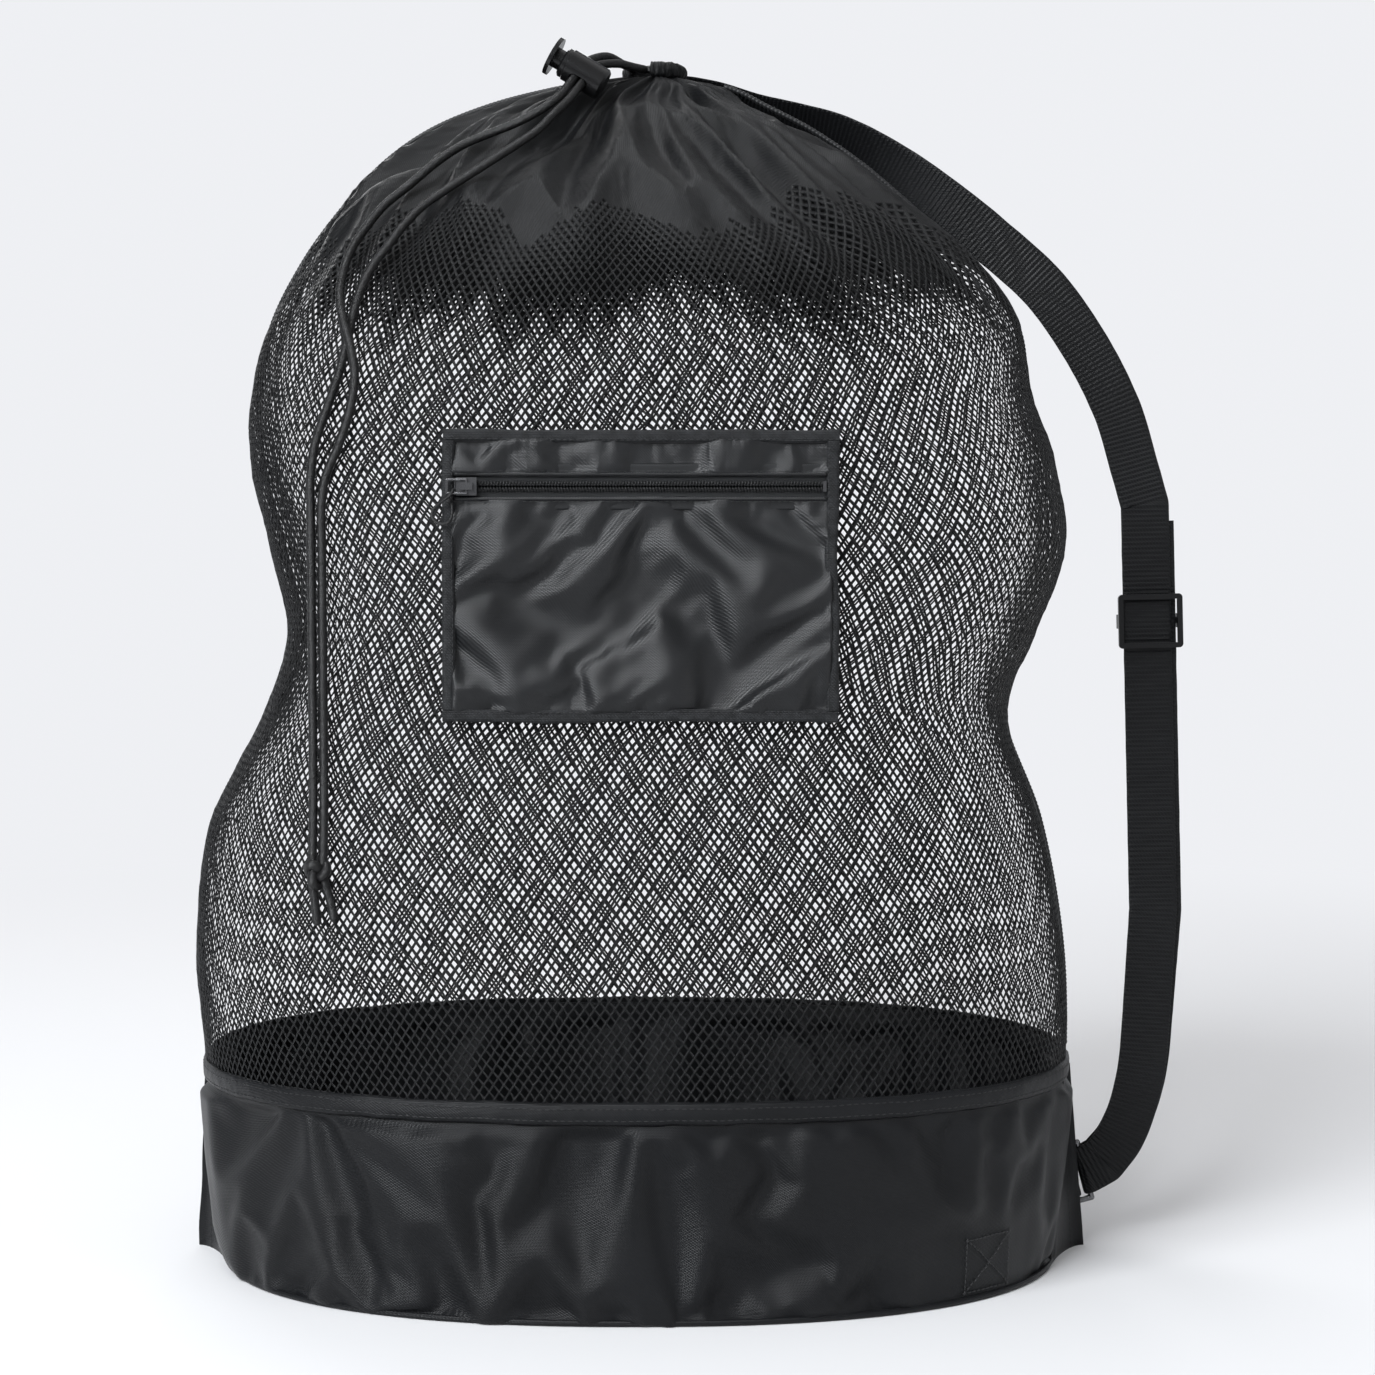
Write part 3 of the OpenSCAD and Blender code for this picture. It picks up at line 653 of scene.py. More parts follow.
def pucker(grid, reach, depth, wave, seed, sides=True):
    """Small gathers that run in from the sewn edges of a panel."""
    along = np.linalg.norm(np.diff(grid, axis=0), axis=-1).mean(1)
    across = np.linalg.norm(np.diff(grid, axis=1), axis=-1).mean(0)
    z, x = np.r_[0, np.cumsum(along)], np.r_[0, np.cumsum(across)]
    zz, xx = np.meshgrid(z, x, indexing="ij")
    shift = 0
    for k, (far, run) in enumerate((
        (zz, xx), (z[-1] - zz, xx), (xx, zz), (x[-1] - xx, zz)
    )[: 4 if sides else 2]):
        layer = seed + 3.3 * k
        folds = noise_at(run / wave, far / (5 * reach), layer)
        folds = folds + 0.5 * noise_at(run / wave * 2.3, far / (3 * reach), layer + 9)
        uneven = 0.6 + 0.6 * noise_at(run / 31, 0, seed + k)
        shift = shift + folds * uneven * np.exp(-far / reach) * ease(0, 2.2, far)
    return grid + grid_normals(grid) * (depth * shift)[..., None]


# ---- base ----

BAND_ROWS, BAND_COLS = 35, 205


def base_half(name, half):
    v = np.linspace(0, BAND_END - 0.02, BAND_ROWS)
    vv, uu = surface_grid(v, BAND_COLS, half)
    rest = off_skin(vv, uu, -1.2)
    grid = rumple(
        rest, 0.08, 30, 7, 3.1 + 17 * half, bending=1.6, nudge=3, wave=34,
        stretch=(1, 1, 0.5), soften=2,
    )
    fine = pucker(refine_grid(grid, 2), 9, 1.0, 9, 2.2 + half, sides=False)
    flat = refine_grid(rest, 2)
    height = np.linspace(v[0], v[-1], len(fine))[:, None]
    loose = ease(1.84, 1.68, height)
    if half:
        angle = refine_grid(np.stack([uu, vv, vv], -1), 2)[..., 0]
        near = ease(22, 9, np.abs(angle - 320)) * ease(1.0, 0.66, height)
        loose = loose * (1 - 0.85 * near)
    fine = flat + (fine - flat) * loose[..., None]
    panel = stand_in(f"base_panel_{name}", f"base_band_{name}", shell(fine, 0.8), coated)
    return fine


front_band = base_half("front", 1)
base_half("back", 0)


def base_ear(name, side):
    """Pressed seam where the front and back of the band meet, widest at the floor."""
    v = np.linspace(0, 1.85, 24)
    reach = 2 if side > 0 else 1
    tip_x = side * (np.interp(v, [0, 2], [SECTIONS[0][reach] + 17, SECTIONS[2][reach] + 3]))
    tip_x = tip_x + 0.7 * side * noise_at(v * 2.2, 0, side)
    middle = 0 if side > 0 else 180
    parts = []
    for face in (-1, 1):
        root = off_skin(v, middle + 13.0 * face * side, -0.6)
        tip = points_at(tip_x, face * 0.45, root[:, 2])
        bend = points_at(root[:, 0] * 0.2 + tip_x * 0.8 - side * 5, face * 1.2, root[:, 2])
        t = np.linspace(0, 1, 12)[None, :, None]
        grid = (
            (1 - t) ** 2 * root[:, None] + 2 * t * (1 - t) * bend[:, None] + t**2 * tip[:, None]
        )
        grid[..., 1] += 0.5 * face * noise(grid / 11) * np.sin(np.pi * t[..., 0])
        if face * side > 0:
            grid = grid[:, ::-1]
        parts.append(shell(grid, 0.5))
        row = grid[:, 7] if face * side < 0 else grid[:, 4]
        stitches("base", row, [0, face, 0], 3.0, 2.2, 0.5)
    stand_in(f"base_ear_{name}", f"base_side_seam_{name}", join(parts), coated)


base_ear("left", -1)
base_ear("right", 1)


def base_floor():
    """Two-sided floor with slight creases, and the welt round its edge."""
    rows, sides = 26, 240
    edge = skin(0, np.degrees(full_turn(sides)))
    share = np.linspace(0, 1, rows)[:, None, None]
    grid = edge[None] * [0.982, 0.982, 0] * share
    grid[..., 2] = 2.2 + 0.5 * creases(grid / 50) * (1 - share[..., 0] ** 4)
    under = grid - [0, 0, 1.4]
    under[..., 2] = np.maximum(under[..., 2], 0.2)
    n = rows * sides
    last = n - sides + np.arange(sides)
    after = np.roll(last, -1)
    floor = np.concatenate([grid.reshape(-1, 3), under.reshape(-1, 3)]), [
        grid_faces(rows, sides, closed=True),
        grid_faces(rows, sides, closed=True, first=n, flip=True),
        np.stack([last, after, after + n, last + n], -1),
    ]
    welt = tube(edge * [0.995, 0.995, 0] + [0, 0, 1.6], 1.4, 8, closed=True)
    stand_in("base_floor_panel", "base_bottom", join([floor, welt]), coated)


base_floor()


def band_hem(half):
    """Folded edge along the top of the band, sewn through the mesh with two rows."""
    v = np.linspace(BAND_END - 0.165, BAND_END + 0.035, 9)
    vv, uu = surface_grid(v, 620, half)
    across = np.linspace(-1, 1, 9)[:, None]
    rest = skin(vv, uu)
    out = -0.6 + 1.6 * (1 - across**6) + 0.25 * noise(rest / 9) + 0.15 * noise(rest / 3.5)
    out = out - 0.25 * (np.abs(np.abs(across) - 0.55) < 0.08)
    grid = off_skin(vv, uu, out)
    grid[..., 2] += 0.5 * noise(rest / 26) + 0.25 * noise(rest / 8)
    for row in (2, 6):
        stitches("base", grid[row, 4:-4], skin_normal(vv[row, 4:-4], uu[row, 4:-4]), 3.4, 2.4)
    return shell(grid, 1.2)


stand_in("base_hem", "base_top_binding", join([band_hem(0), band_hem(1)]), coated)


# ---- net ----

NET_COLUMNS = 264
CELL_H = 6.4
STRAND_W, STRAND_T = 1.15, 0.56
# A cell whose hole is a smaller share of it than this is shut.
LEAST_HOLE = 0.08
# Section numbers between which the strands widen, and their widest over their usual width.
WIDENS_FROM, WIDENS_TO, WIDEST = 10, 13.2, 5


def net_rows():
    """Section numbers of the rows of the net, half a cell apart on average."""
    v = np.linspace(BAND_END - 0.01, MESH_END, 900)
    p = skin(v[:, None], np.arange(0, 360, 7.5)[None])
    step = np.linalg.norm(np.diff(p, axis=0), axis=-1).mean(1)
    far = np.r_[0, np.cumsum(step)]
    count = 2 * int(round(far[-1] / CELL_H))
    return np.interp(np.linspace(0, far[-1], count + 1), far, v)


def pleats(v, around, wide):
    """How far the gathered net stands out, from folds that deepen towards the neck."""
    depth = np.minimum(7, 0.11 * wide) * ease(9, 13.2, v) + 0.3 * ease(7, 9, v)
    big = noise_at(around * 27, v * 0.25, 3)
    small = noise_at(around * 60, v * 0.5, 8)
    fine = noise_at(around * 118, v * 0.7, 5) - 0.4
    folds = depth * np.clip(0.15 - 3 * np.abs(big) + 0.45 * small, -2.4, 0.15)
    return folds + 0.75 * ease(10.5, 12.5, v) * fine


def half_cells(v, rows, columns):
    """Half cells that close the gathered net along its seams and at the mouth."""
    up = np.arange(1, rows - 1)[v[1:-1] > 12]
    left = up[up % 2 == 1] * columns
    right = up[(up + columns) % 2 == 0] * columns + columns - 1
    over = np.arange(1, columns - 1)
    last = (rows - 1) * columns + over[(over + rows) % 2 == 0]
    return np.concatenate([
        np.stack([left - columns, left + 1, left + columns], -1),
        np.stack([right - columns, right + columns, right - 1], -1),
        np.stack([last - columns, last + 1, last - 1], -1),
    ])


def net_half(name, half):
    v = net_rows()
    columns = NET_COLUMNS + 1
    vv, uu = surface_grid(v, columns, half)
    rest = skin(vv, uu)
    wide = np.hypot(rest[..., 0] - NECK_X, rest[..., 1])
    around = uu / 360
    seam = np.minimum(np.arange(columns), np.arange(columns)[::-1]) / 8
    off_right = np.abs((uu + 160) % 360 - 180)
    dip = ease(12.6, 14.6, vv) * ease(16.2, 15.2, vv) * ease(75, 20, off_right)
    out = -0.9 - 4.5 * dip + pleats(vv, around, wide) * np.clip(seam, 0, 1)
    grid = off_skin(vv, uu, out)
    drift = np.stack([noise(rest / 21 + k * 13.7) for k in range(3)], -1)
    loose = np.random.default_rng(5 + half).normal(0, 0.11, grid.shape)
    keep = np.clip(seam, 0, 1)[None, :, None] * np.minimum(wide / 60, 1)[..., None]
    grid = grid + (0.55 * drift + loose) * keep
    grid = grid + 0.32 * ease(16.4, 17, vv)[..., None] * ([NECK_X, 0, 584.5] - grid)
    normals = grid_normals(grid)
    rows = len(v)
    lift = STRAND_T / 2 * normals
    total = rows * columns
    flat = grid.reshape(-1, 3)
    layers = np.concatenate([flat + lift.reshape(-1, 3), flat - lift.reshape(-1, 3)])
    j, i = np.meshgrid(np.arange(1, rows - 1), np.arange(1, columns - 1), indexing="ij")
    odd = (i + j) % 2 == 1
    j, i = j[odd], i[odd]
    corner = np.stack([
        (j - 1) * columns + i, j * columns + i + 1, (j + 1) * columns + i, j * columns + i - 1
    ], -1)
    at = flat[corner]
    middle = at.mean(1)
    a = np.linalg.norm(at[:, 1] - at[:, 3], axis=-1) / 2
    b = np.linalg.norm(at[:, 2] - at[:, 0], axis=-1) / 2
    streak = around[j, i] * 15
    closing = v[j] + 0.95 * noise_at(streak, v[j] * 0.3, 0)
    closing = closing + 0.45 * noise_at(streak * 3.1, v[j] * 0.6, 4)
    strand = STRAND_W * (1 + (WIDEST - 1) * ease(WIDENS_FROM, WIDENS_TO, closing))
    hole = 1 - strand / 2 * np.hypot(a, b) / np.maximum(a * b, 1e-6)
    thirds = [0, rows // 3, 2 * rows // 3, rows]
    for k, part in enumerate(("low", "middle", "high")):
        mine = (j >= thirds[k]) & (j < thirds[k + 1])
        open_, shut = mine & (hole >= LEAST_HOLE), mine & (hole < LEAST_HOLE)
        inner = (
            middle[open_, None] + hole[open_, None, None] * (at[open_] - middle[open_, None])
        ).reshape(-1, 3)
        n_open, n_shut = int(open_.sum()), int(shut.sum())
        pressed = (0.1 + 0.8 * np.clip(-hole[shut], 0, 1))[:, None]
        rise = pressed * lift.reshape(-1, 3)[corner[shut]].mean(1)
        points = np.concatenate([layers, inner, middle[shut] + rise, middle[shut] - rise])
        ring = 2 * total + np.arange(4 * n_open).reshape(-1, 4)
        centre = 2 * total + 4 * n_open + np.arange(n_shut)
        quads, triangles = [], []
        for c in range(4):
            d = (c + 1) % 4
            front, back = corner, corner + total
            quads.append(np.stack([
                front[open_, c], front[open_, d], ring[:, d], ring[:, c]], -1))
            quads.append(np.stack([
                ring[:, c], ring[:, d], back[open_, d], back[open_, c]], -1))
            triangles.append(np.stack([front[shut, c], front[shut, d], centre], -1))
            triangles.append(np.stack([centre + n_shut, back[shut, d], back[shut, c]], -1))
        if k == 2:
            edge = half_cells(v, rows, columns)
            triangles += [edge, edge[:, ::-1] + total]
        quads, triangles = np.concatenate(quads), np.concatenate(triangles)
        used, number = np.unique(
            np.concatenate([quads.ravel(), triangles.ravel()]), return_inverse=True
        )
        faces = [number[: quads.size].reshape(-1, 4), number[quads.size :].reshape(-1, 3)]
        piece = mesh_object(
            f"net_{name}_{part}", points[used], [f for f in faces if len(f)], net_thread
        )
        if k == 0:
            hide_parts(f"mesh_{name}")


net_half("front", 1)
net_half("back", 0)


def side_seam(name, u):
    """Overlocked seam: a fat edge wrapped in thread."""
    v = np.linspace(BAND_END + 0.04, MESH_END - 0.75, 500)
    step = 0.45
    points = evenly(off_skin(v, u, 0.9), step)
    far = np.arange(len(points))[:, None] * step
    wrap = np.abs(np.sin(np.pi * far / 2.1 + 0.7 * np.sin(full_turn(10))))
    seam = tube(points, 1.05 + 0.28 * wrap, 10)
    stand_in(f"net_seam_{name}", f"mesh_side_seam_{name}", seam, thread)


side_seam("left", 180)
side_seam("right", 0)


# ---- gathered mouth ----


def mouth():
    """Casing of net round the drawcord, open at the front where both ends come out."""
    start, end = 258, 577
    turn = np.linspace(start, end, 420)
    t, r = np.meshgrid(turn, full_turn(20), indexing="ij")
    ends = ease(0, 6, np.minimum(t - start, end - t))
    where = points_at(t / 9, np.cos(r), np.sin(r))
    fold = 0.55 * noise(where * 1.3) + 0.35 * noise(where * 2.9 + 4)
    bunch = np.where(np.cos(r) < 0, 1.35 + 0.25 * noise_at(t / 13, 0, 0), 0)
    reach = (3.6 + 1.1 * fold) * (0.35 + 0.65 * ends) * (1 + bunch * ends)
    tall = (4.1 + 0.9 * fold) * (0.35 + 0.65 * ends)
    grid = around_neck(HEM_R + reach * np.cos(r), t, NECK_Z + tall * np.sin(r))
    casing = capped(grid[:, ::-1], grid[:1].mean(1), grid[-1:].mean(1))
    stand_in("mouth_casing", "mouth_hem", casing, net_thread)


mouth()


# ---- shoulder strap ----

STRAP_W, STRAP_T, RING_WIRE, GAP = 24, 1.5, 3, 0.3
WEB_STEP, RIB_PITCH, RIB_H = 0.46, 2.3, 0.27
ADJUSTER_AT = np.array([254.8, 3.65, 314.5])
RUN_DIR = unit([0.027, 0, -1])
STRAP_BAR = np.array([224, 5.35, 37])
TAB_BAR = np.array([216.8, 5.35, 35])
TO_RING = np.array([-0.966, 0, -0.26])
FOLD_R = RING_WIRE / 2 + GAP + STRAP_T / 2
STRAP_TOP = [
    [-12, 28, 579, 0, 0.65, 0.76], [4, 29, 579, 0, 0.65, 0.76],
    [20, 30, 578, 0.1, 0.65, 0.75], [38, 32, 574, 0.17, 0.68, 0.7],
    [58, 34, 568, 0.22, 0.7, 0.65], [79, 31, 562.5, 0.24, 0.72, 0.62],
    [101, 26, 555, 0.27, 0.78, 0.56], [126, 19, 542, 0.25, 0.87, 0.4],
    [152, 12, 524, 0.15, 0.96, 0.2], [176, 8, 504, 0.06, 1, 0.06],
    [202, 6, 480, 0, 1, 0], [223, 5, 450, 0, 1, 0], [238, 4, 420, 0, 1, 0],
    [247, 3, 390, 0, 1, 0],
]
STRAP_BEND = [[254.5, 118], [252.5, 92], [248.5, 72], [242, 54.5], [233, 42]]


def on_run(down, layer):
    return ADJUSTER_AT + down * RUN_DIR + [-layer * 1.3, -layer * (STRAP_T + 0.3) / 2, 0]


def strap_rows():
    """Centre of the strap and the way its outer face looks, from the neck to its loose end."""
    top = np.array(STRAP_TOP, float)
    top[:, 3:] *= -1
    top[:, 2] += 4 * ease(0, 30, top[:, 0]) * ease(150, 100, top[:, 0])
    rows = [smooth_rows(top, np.linspace(0, len(top) - 1, 105))]
    rows.append([[*on_run(d, 1), 0, -1, 0] for d in range(-58, 146, 29)])
    down = [[x, STRAP_BAR[1] - FOLD_R, z, 0, -1, 0] for x, z in STRAP_BEND]
    rows.append(smooth_rows(down, np.linspace(0, 4, 33)))
    for degrees in range(0, 181, 30):
        a = math.radians(degrees)
        face = -math.cos(a) * np.array([0, 1, 0]) + math.sin(a) * TO_RING
        rows.append([[*(STRAP_BAR + FOLD_R * face), *face]])
    up = [
        [x + (2 if i == 0 else 0.6 * (4 - i)), STRAP_BAR[1] + FOLD_R - 0.35 * (4 - i), z, 0, 1, 0]
        for i, (x, z) in reversed(list(enumerate(STRAP_BEND)))
    ]
    rows.append(smooth_rows(up, np.linspace(0, 4, 33)))
    rows.append([[*on_run(d, -1), 0, 1, 0] for d in range(145, -51, -39)])
    return np.concatenate(rows)


ACROSS = np.array([-1, -0.985, -0.93, -0.8, -0.5, 0, 0.5, 0.8, 0.93, 0.985, 1])


def web_frame(rows):
    along = unit(np.gradient(rows[:, :3], axis=0))
    across = unit(np.cross(rows[:, 3:6], along))
    return across, unit(np.cross(along, across))


def webbing_mesh(rows):
    """Ribbed webbing through rows of centres and facing directions, and its finer rows."""
    rows = evenly(np.asarray(rows, float), WEB_STEP)
    across, out = web_frame(rows)
    far = np.arange(len(rows)) * WEB_STEP
    ribs = RIB_H * np.cos(2 * np.pi * far / RIB_PITCH)[:, None]
    place = np.r_[ACROSS, ACROSS[::-1]]
    side = np.r_[np.ones(len(ACROSS)), -np.ones(len(ACROSS))]
    edge = np.clip((1 - np.abs(place)) * 12, 0, 1)
    half = STRAP_T / 2 * (0.55 + 0.45 * np.sqrt(edge))[None] - RIB_H + ribs * side * edge
    wave = 0.12 * noise_at(far / 9, 0, 2)[:, None]
    ring = (
        rows[:, None, :3]
        + (place[None] * STRAP_W / 2 + wave * (np.abs(place) > 0.7))[..., None] * across[:, None]
        + (side * half)[..., None] * out[:, None]
    )
    ring = ring[:, ::-1]
    sides = len(place)
    n = len(rows) * sides
    k = np.arange(len(ACROSS) - 1)
    cap = np.stack([k, k + 1, sides - 2 - k, sides - 1 - k], -1)
    faces = [
        grid_faces(len(rows), sides, closed=True, flip=True), cap, (cap + n - sides)[:, ::-1]
    ]
    return (ring.reshape(-1, 3), faces), rows


def crossed_box(s0, s1, a0, a1, count):
    """The two coordinates along each side and each diagonal of a rectangle."""
    t = np.linspace(0, 1, count)
    for s_from, s_to, a_from, a_to in (
        (s0, s0, a0, a1), (s1, s1, a0, a1), (s0, s1, a0, a0),
        (s0, s1, a1, a1), (s0, s1, a0, a1), (s1, s0, a0, a1),
    ):
        yield s_from + (s_to - s_from) * t, a_from + (a_to - a_from) * t


def strap_stitches(rows, start, end, half_width):
    """A sewn rectangle with its diagonals, on the strap's outer face between two lengths."""
    far = distances(rows)
    table = np.concatenate([rows[:, :3], *web_frame(rows)], axis=1)
    for s, a in crossed_box(start, end, -half_width, half_width, 40):
        at = np.stack([np.interp(s, far, column) for column in table.T], -1)
        out = unit(at[:, 6:])
        path = at[:, :3] + a[:, None] * at[:, 3:6] + STRAP_T / 2 * out
        stitches("strap", path, out, pitch=2.6, length=2.6 * 0.75, width=0.6)


strap_surface, strap_fine = webbing_mesh(strap_rows())
strap = stand_in("strap_webbing", "shoulder_strap", strap_surface, webbing)
strap_stitches(strap_fine, 4, 24, 9)

tilt_x = -TO_RING
tab_rows = [[*(TAB_BAR - 4.2 * tilt_x + [0, -FOLD_R, 0]), 0, -1, 0]]
for degrees in range(-90, 91, 15):
    a = math.radians(degrees)
    face = math.cos(a) * tilt_x + math.sin(a) * np.array([0, 1, 0])
    tab_rows.append([*(TAB_BAR + FOLD_R * face), *face])
tab_rows.append([*(TAB_BAR - 4.2 * tilt_x + [0, FOLD_R, 0]), 0, 1, 0])
stand_in("strap_tab", "ring_tab", webbing_mesh(tab_rows)[0], webbing)


def anchor():
    """Inside end of the tab, and the crossed box that shows outside."""
    v = np.linspace(0.09, 0.62, 30)
    u = np.linspace(314, 326, 26)
    grid = off_skin(v[:, None], u[None], -3.0)
    stand_in("strap_anchor", "anchor_patch", shell(grid, 1.4), webbing)
    for v, u in crossed_box(0.1, 0.6, 314.6, 325.4, 60):
        stitches("base", *on_band(v, u), 2.9, 2.3, 0.8)


def on_band(v, u):
    """Points and normals on the rumpled front of the band, from the four nearest of its own."""
    normals = grid_normals(front_band).reshape(-1, 3)
    fine = front_band.reshape(-1, 3) + 0.45 * normals
    at, out = [], []
    for point in off_skin(v, u, -1.2):
        far = np.linalg.norm(fine - point, axis=1)
        near = np.argsort(far)[:4]
        weights = 1 / (far[near] + 0.2)
        at.append(weights @ fine[near] / weights.sum())
        out.append(normals[near[0]])
    return np.array(at), np.array(out)


anchor()


# ---- pocket ----

POCKET_X0, POCKET_X1, POCKET_Z0, POCKET_Z1, BINDING_W = -85, 90, 272, 401, 5.4
BACK_Y, FRONT_Y, FACE_Y, ZIP_Z, SLOT = -147.6, -153.6, -154.6, 376, 9
IN_X0, IN_X1 = POCKET_X0 + BINDING_W, POCKET_X1 - BINDING_W
# How far the panels go under the binding, and their lowest and highest edges.
LAP = 2.5
LOW_EDGE, HIGH_EDGE = POCKET_Z0 + BINDING_W - LAP, POCKET_Z1 - BINDING_W + LAP
SLOT_LOW, SLOT_HIGH = ZIP_Z - SLOT / 2, ZIP_Z + SLOT / 2


def pocket_shift(points):
    """The pocket's slack, the same for all its pieces: it fades out along the zip."""
    p = np.asarray(points, float)
    flat = points_at(p[..., 0] / 47, p[..., 2] / 47, 0)
    free = ease(5, 22, np.abs(p[..., 2] - ZIP_Z))
    return p + np.stack([
        0.9 * free * noise(flat * 1.7 + 3),
        -0.5 * free * (1 + noise(flat * 1.3 + 8)),
        1.1 * free * noise(flat * 1.5 + 12),
    ], -1)


def flat_grid(x0, x1, z0, z1, y, step):
    x = np.linspace(x0, x1, int(round((x1 - x0) / step)) + 1)
    z = np.linspace(z0, z1, int(round((z1 - z0) / step)) + 1)
    xx, zz = np.meshgrid(x, z)
    return points_at(xx, y, zz)


def pocket_panel(name, z0, z1, y, step, growth, cap, seed):
    """A panel that goes under the binding, rumpled if it has grown."""
    grid = flat_grid(IN_X0 - LAP, IN_X1 + LAP, z0, z1, y, step)
    if growth:
        grid = rumple(
            grid, growth, 34, cap, seed, bending=1.8, nudge=4, wave=27,
            stretch=(0.5, 1, 1.1), soften=3,
        )
    grid = refine_grid(pocket_shift(grid), 3)
    if growth:
        grid = pucker(grid, 4.5, 1.3, 5, seed)
    piece = stand_in(name, f"{name}_panel", shell(grid, 0.5), pocket_fabric)


pocket_panel("pocket_front", LOW_EDGE, SLOT_LOW, FACE_Y + 0.2, 2.4, 0.1, 7, 23.0)
pocket_panel("pocket_top", SLOT_HIGH, HIGH_EDGE, FACE_Y + 0.2, 1.6, 0.05, 2, 41.0)
pocket_panel("pocket_back", LOW_EDGE, HIGH_EDGE, BACK_Y - 0.5, 4, 0, 0, 5.0)


def zip_lip(z, up):
    """Turned edge of a panel along the zip, with its row of stitches."""
    x = np.linspace(IN_X0, IN_X1, 200)
    path = points_at(x, FACE_Y - 0.25, z + up * 0.9)
    path[:, 1] -= 0.25 * noise(path / 7)
    line = points_at(x, FACE_Y - 0.9, z + up * 2.2)
    stitches("pocket", pocket_shift(line), [0, -1, 0], 2.6, 1.9, 0.42, 0.1)
    return tube(path, 0.75, 8)


lips = mesh_object(
    "pocket_zip_edges", *join([zip_lip(SLOT_LOW, -1), zip_lip(SLOT_HIGH, 1)]),
    pocket_fabric,
)


def binding_strip(name, x0, x1, z0, z1, upright):
    """Folded tape round the pocket's edge, with a stitch row along its inner side."""

    def lay(s, y, cross):
        return pocket_shift(points_at(cross, y, s) if upright else points_at(s, y, cross))

    long0, long1 = (z0, z1) if upright else (x0, x1)
    wide0, wide1 = (x0, x1) if upright else (z0, z1)
    s = np.linspace(long0, long1, int((long1 - long0) / 0.45))
    a = np.linspace(-1, 1, 13)
    ss, aa = np.meshgrid(s, a)
    middle = (wide0 + wide1) / 2
    w = (wide1 - wide0) / 2 + 0.1
    puff = 0.9 * (1 - aa**4)
    rib = 0.07 * np.cos(2 * np.pi * ss / 1.35) * (1 - aa**6)
    cross = middle + aa * w + 0.22 * noise_at(ss / 12, 0, middle)
    y = FACE_Y + 0.15 - puff - rib - 0.25 * noise_at(ss / 6, aa, middle)
    grid = lay(ss, y, cross)
    if upright:
        grid = grid.transpose(1, 0, 2)
    back = grid.copy()
    back[..., 1] = BACK_Y + FACE_Y - back[..., 1] + 0.6
    stand_in(f"pocket_edge_{name}", f"pocket_binding_{name}", shell(grid, 0, back), binding)
    inner = {"top": -0.62, "bottom": 0.62, "left": 0.62, "right": -0.62}[name]
    line = lay(np.linspace(long0 + 1, long1 - 1, 300), FACE_Y - 0.85, middle + inner * w)
    stitches("pocket", line, [0, -1, 0], 2.8, 2.0, 0.45, 0.1)


low_z, high_z = POCKET_Z0 + BINDING_W, POCKET_Z1 - BINDING_W
binding_strip("top", POCKET_X0, POCKET_X1, high_z, POCKET_Z1, False)
binding_strip("bottom", POCKET_X0, POCKET_X1, POCKET_Z0, low_z, False)
binding_strip("left", POCKET_X0, IN_X0, low_z - 0.4, high_z + 0.4, True)
binding_strip("right", IN_X1, POCKET_X1, low_z - 0.4, high_z + 0.4, True)


# ---- zip ----

COIL_PITCH = 1.35


def zip_half(name, up):
    grid = flat_grid(IN_X0 - 1, IN_X1 + 1, ZIP_Z, ZIP_Z + 10, FRONT_Y + 0.15, 1.0)
    grid[..., 2] = ZIP_Z + up * (0.5 + (grid[..., 2] - ZIP_Z) * 0.95)
    grid[..., 1] += 0.06 * np.cos(np.pi * grid[..., 2])
    if up < 0:
        grid = grid[::-1]
    stand_in(f"zip_web_{name}", f"zip_tape_{name}", shell(grid, 0.6), tape_fabric)
    turns = int((IN_X1 - IN_X0 - 1) / COIL_PITCH)
    a = np.linspace(0, 2 * np.pi * turns, turns * 14 + 1)
    coil = points_at(
        IN_X0 + 0.5 + COIL_PITCH * a / (2 * np.pi), FRONT_Y - 0.72 + 0.42 * np.sin(a),
        ZIP_Z + up * (1.3 + 0.95 * np.cos(a)),
    )
    stand_in(f"zip_teeth_{name}", f"zip_coil_{name}", tube(coil, 0.3, 6), coil_plastic)


zip_half("upper", 1)
zip_half("lower", -1)

SLIDER_X, HINGE_Y, RING_HALF, RING_REACH = -74.1, -158.3, 3, 8.5
LOOP_AT = np.array([SLIDER_X - RING_REACH + 2.2, HINGE_Y, ZIP_Z - RING_HALF])
LOOP_ROUTE = [
    [0, 0, 1.7], [0, -1.2, 1.2], [0, -1.7, 0], [-0.6, -1.5, -2], [-2, -0.7, -4.5],
    [-3.6, -0.2, -7.5], [-4.3, 0, -10.5], [-3.3, 0, -13.2], [0, 0, -14.6], [3.3, 0, -13.2],
    [4.3, 0, -10.5], [3.6, 0.2, -7.5], [2, 0.7, -4.5], [0.6, 1.5, -2], [0, 1.7, 0],
    [0, 1.2, 1.2], [0, 0, 1.7],
]
lean, loop_step = math.radians(25), 0.3
route = np.array(LOOP_ROUTE, float)
turned = points_at(
    math.cos(lean) * route[:, 0] + math.sin(lean) * route[:, 2], route[:, 1],
    -math.sin(lean) * route[:, 0] + math.cos(lean) * route[:, 2],
)
loop_rows = np.concatenate([turned[-3:-1], turned, turned[1:3]])
loop_line = evenly(smooth_rows(loop_rows, np.linspace(2, 18, 400)), loop_step)[:-1]
loop_far = np.arange(len(loop_line))[:, None] * loop_step
loop_turn = np.arange(12)[None] / 12
loop_radius = 0.6 + 0.1 * np.abs(np.sin(np.pi * (4 * loop_turn + loop_far / 1.6)))
crimp_dir = np.array([math.sin(lean), 0, math.cos(lean)])
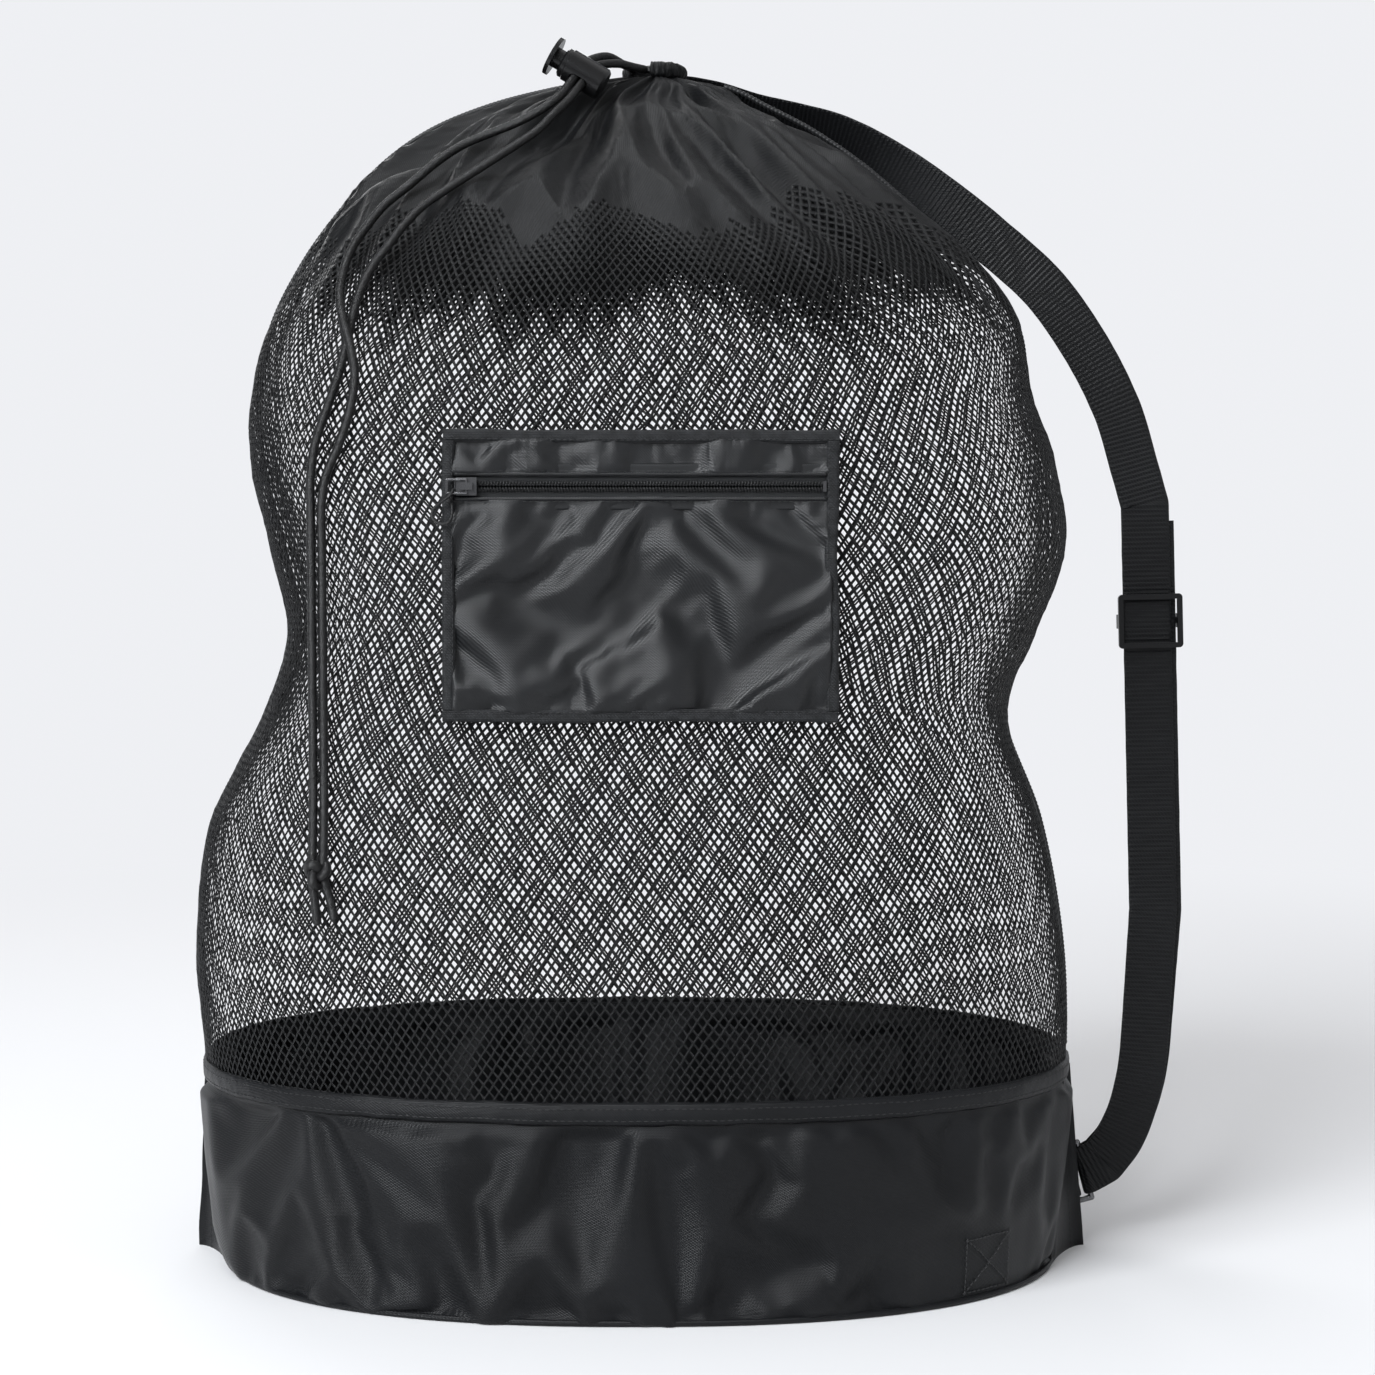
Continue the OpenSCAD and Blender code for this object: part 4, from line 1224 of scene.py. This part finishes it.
crimp_line = LOOP_AT - 3.4 * crimp_dir + crimp_dir * np.linspace(-1.2, 1.2, 9)[:, None]
crimp_radius = np.array([0.6, 1.45, 1.6, 1.5, 1.5, 1.5, 1.6, 1.45, 0.6])[:, None]
pull = join([
    tube(LOOP_AT + loop_line, loop_radius, 12, closed=True), tube(crimp_line, crimp_radius, 14)
])
stand_in("zip_pull_cord", "zip_pull_loop", pull, cord_fabric, body="pull_loop")


# ---- stitches ----

for group, parts in stitching.items():
    mesh_object(f"stitches_{group}", *join(parts), thread)


# ---- floor, light and world ----

BACKDROP = (0.86, 0.87, 0.9, 1)
GROUND_RADIUS, FADE_START, FADE_END = 9, 0.5, 1.9


def blend(tree, factor, first, second):
    """A mix of the outputs of two shader nodes."""
    made = add_node(tree, "MixShader", Fac=factor)
    tree.links.new(first.outputs[0], made.inputs[1])
    tree.links.new(second.outputs[0], made.inputs[2])
    return made.outputs["Shader"]


def seen_directly(tree):
    """1 where the camera looks straight at it, 0 in reflections and for light."""
    return add_node(tree, "LightPath").outputs["Is Camera Ray"]


bpy.ops.mesh.primitive_circle_add(vertices=96, radius=GROUND_RADIUS, fill_type="NGON")
ground = bpy.context.object
ground.name = "ground"
ground_material, tree, shader = new_material("ground", (0.72, 0.72, 0.73), 0.85, 0.2)
reach = add_node(tree, "VectorMath")
reach.operation = "LENGTH"
tree.links.new(object_points(tree), reach.inputs[0])
fade = add_node(
    tree, "MapRange", From_Min=FADE_START, From_Max=FADE_END, Value=reach.outputs["Value"]
)
fade.interpolation_type = "SMOOTHSTEP"
glow_strength = add_node(tree, "MapRange", To_Min=0.3, Value=seen_directly(tree))
glow = add_node(tree, "Emission", Color=BACKDROP, Strength=glow_strength.outputs["Result"])
tree.links.new(
    blend(tree, fade.outputs["Result"], shader, glow),
    tree.nodes["Material Output"].inputs["Surface"],
)
ground.data.materials.append(ground_material)

world = bpy.data.worlds.new("studio")
world.use_nodes = True
tree = world.node_tree
direction = add_node(
    tree, "SeparateXYZ", Vector=add_node(tree, "TexCoord").outputs["Generated"]
)
sky = ramp(tree, direction.outputs["Z"], (0.78, 0.8, 0.83), (0.16, 0.165, 0.18), 0.2, 0.42)
front_is_darker = add_node(
    tree, "MapRange", From_Min=-0.4, From_Max=0.6, To_Min=0.42, To_Max=1.0,
    Value=direction.outputs["Y"],
)
studio = tree.nodes["Background"]
tree.links.new(front_is_darker.outputs["Result"], studio.inputs["Strength"])
tree.links.new(sky, studio.inputs["Color"])
tree.links.new(
    blend(tree, seen_directly(tree), studio, add_node(tree, "Background", Color=BACKDROP)),
    tree.nodes["World Output"].inputs["Surface"],
)
scene.world = world
scene.view_settings.view_transform = "Standard"


def area_light(name, place, target, size, power, colour=(1, 1, 1)):
    data = bpy.data.lights.new(name, "AREA")
    data.shape = "RECTANGLE"
    data.size, data.size_y = size
    data.energy = power
    data.color = colour
    light = bpy.data.objects.new(name, data)
    light.location = place
    aim = Vector(target) - Vector(place)
    light.rotation_euler = aim.to_track_quat("-Z", "Y").to_euler()
    scene.collection.objects.link(light)


area_light("key", (-1.25, -2, 1.7), (0, 0, 0.3), (1.6, 1.4), 112, (0.94, 0.97, 1))
area_light("fill", (1.9, -1.3, 1.1), (0, 0, 0.3), (1.2, 1.2), 10)
area_light("top", (0.2, 0.4, 4), (0, 0, 0.3), (4, 4), 45)
area_light("back", (-0.6, 1.9, 1.5), (0, 0, 0.3), (1.6, 1.2), 16)
sun = bpy.data.objects.new("soft_sun", bpy.data.lights.new("soft_sun", "SUN"))
sun.data.energy, sun.data.angle = 0.8, math.radians(75)
sun.rotation_euler = (math.radians(32), math.radians(-22), 0)
scene.collection.objects.link(sun)
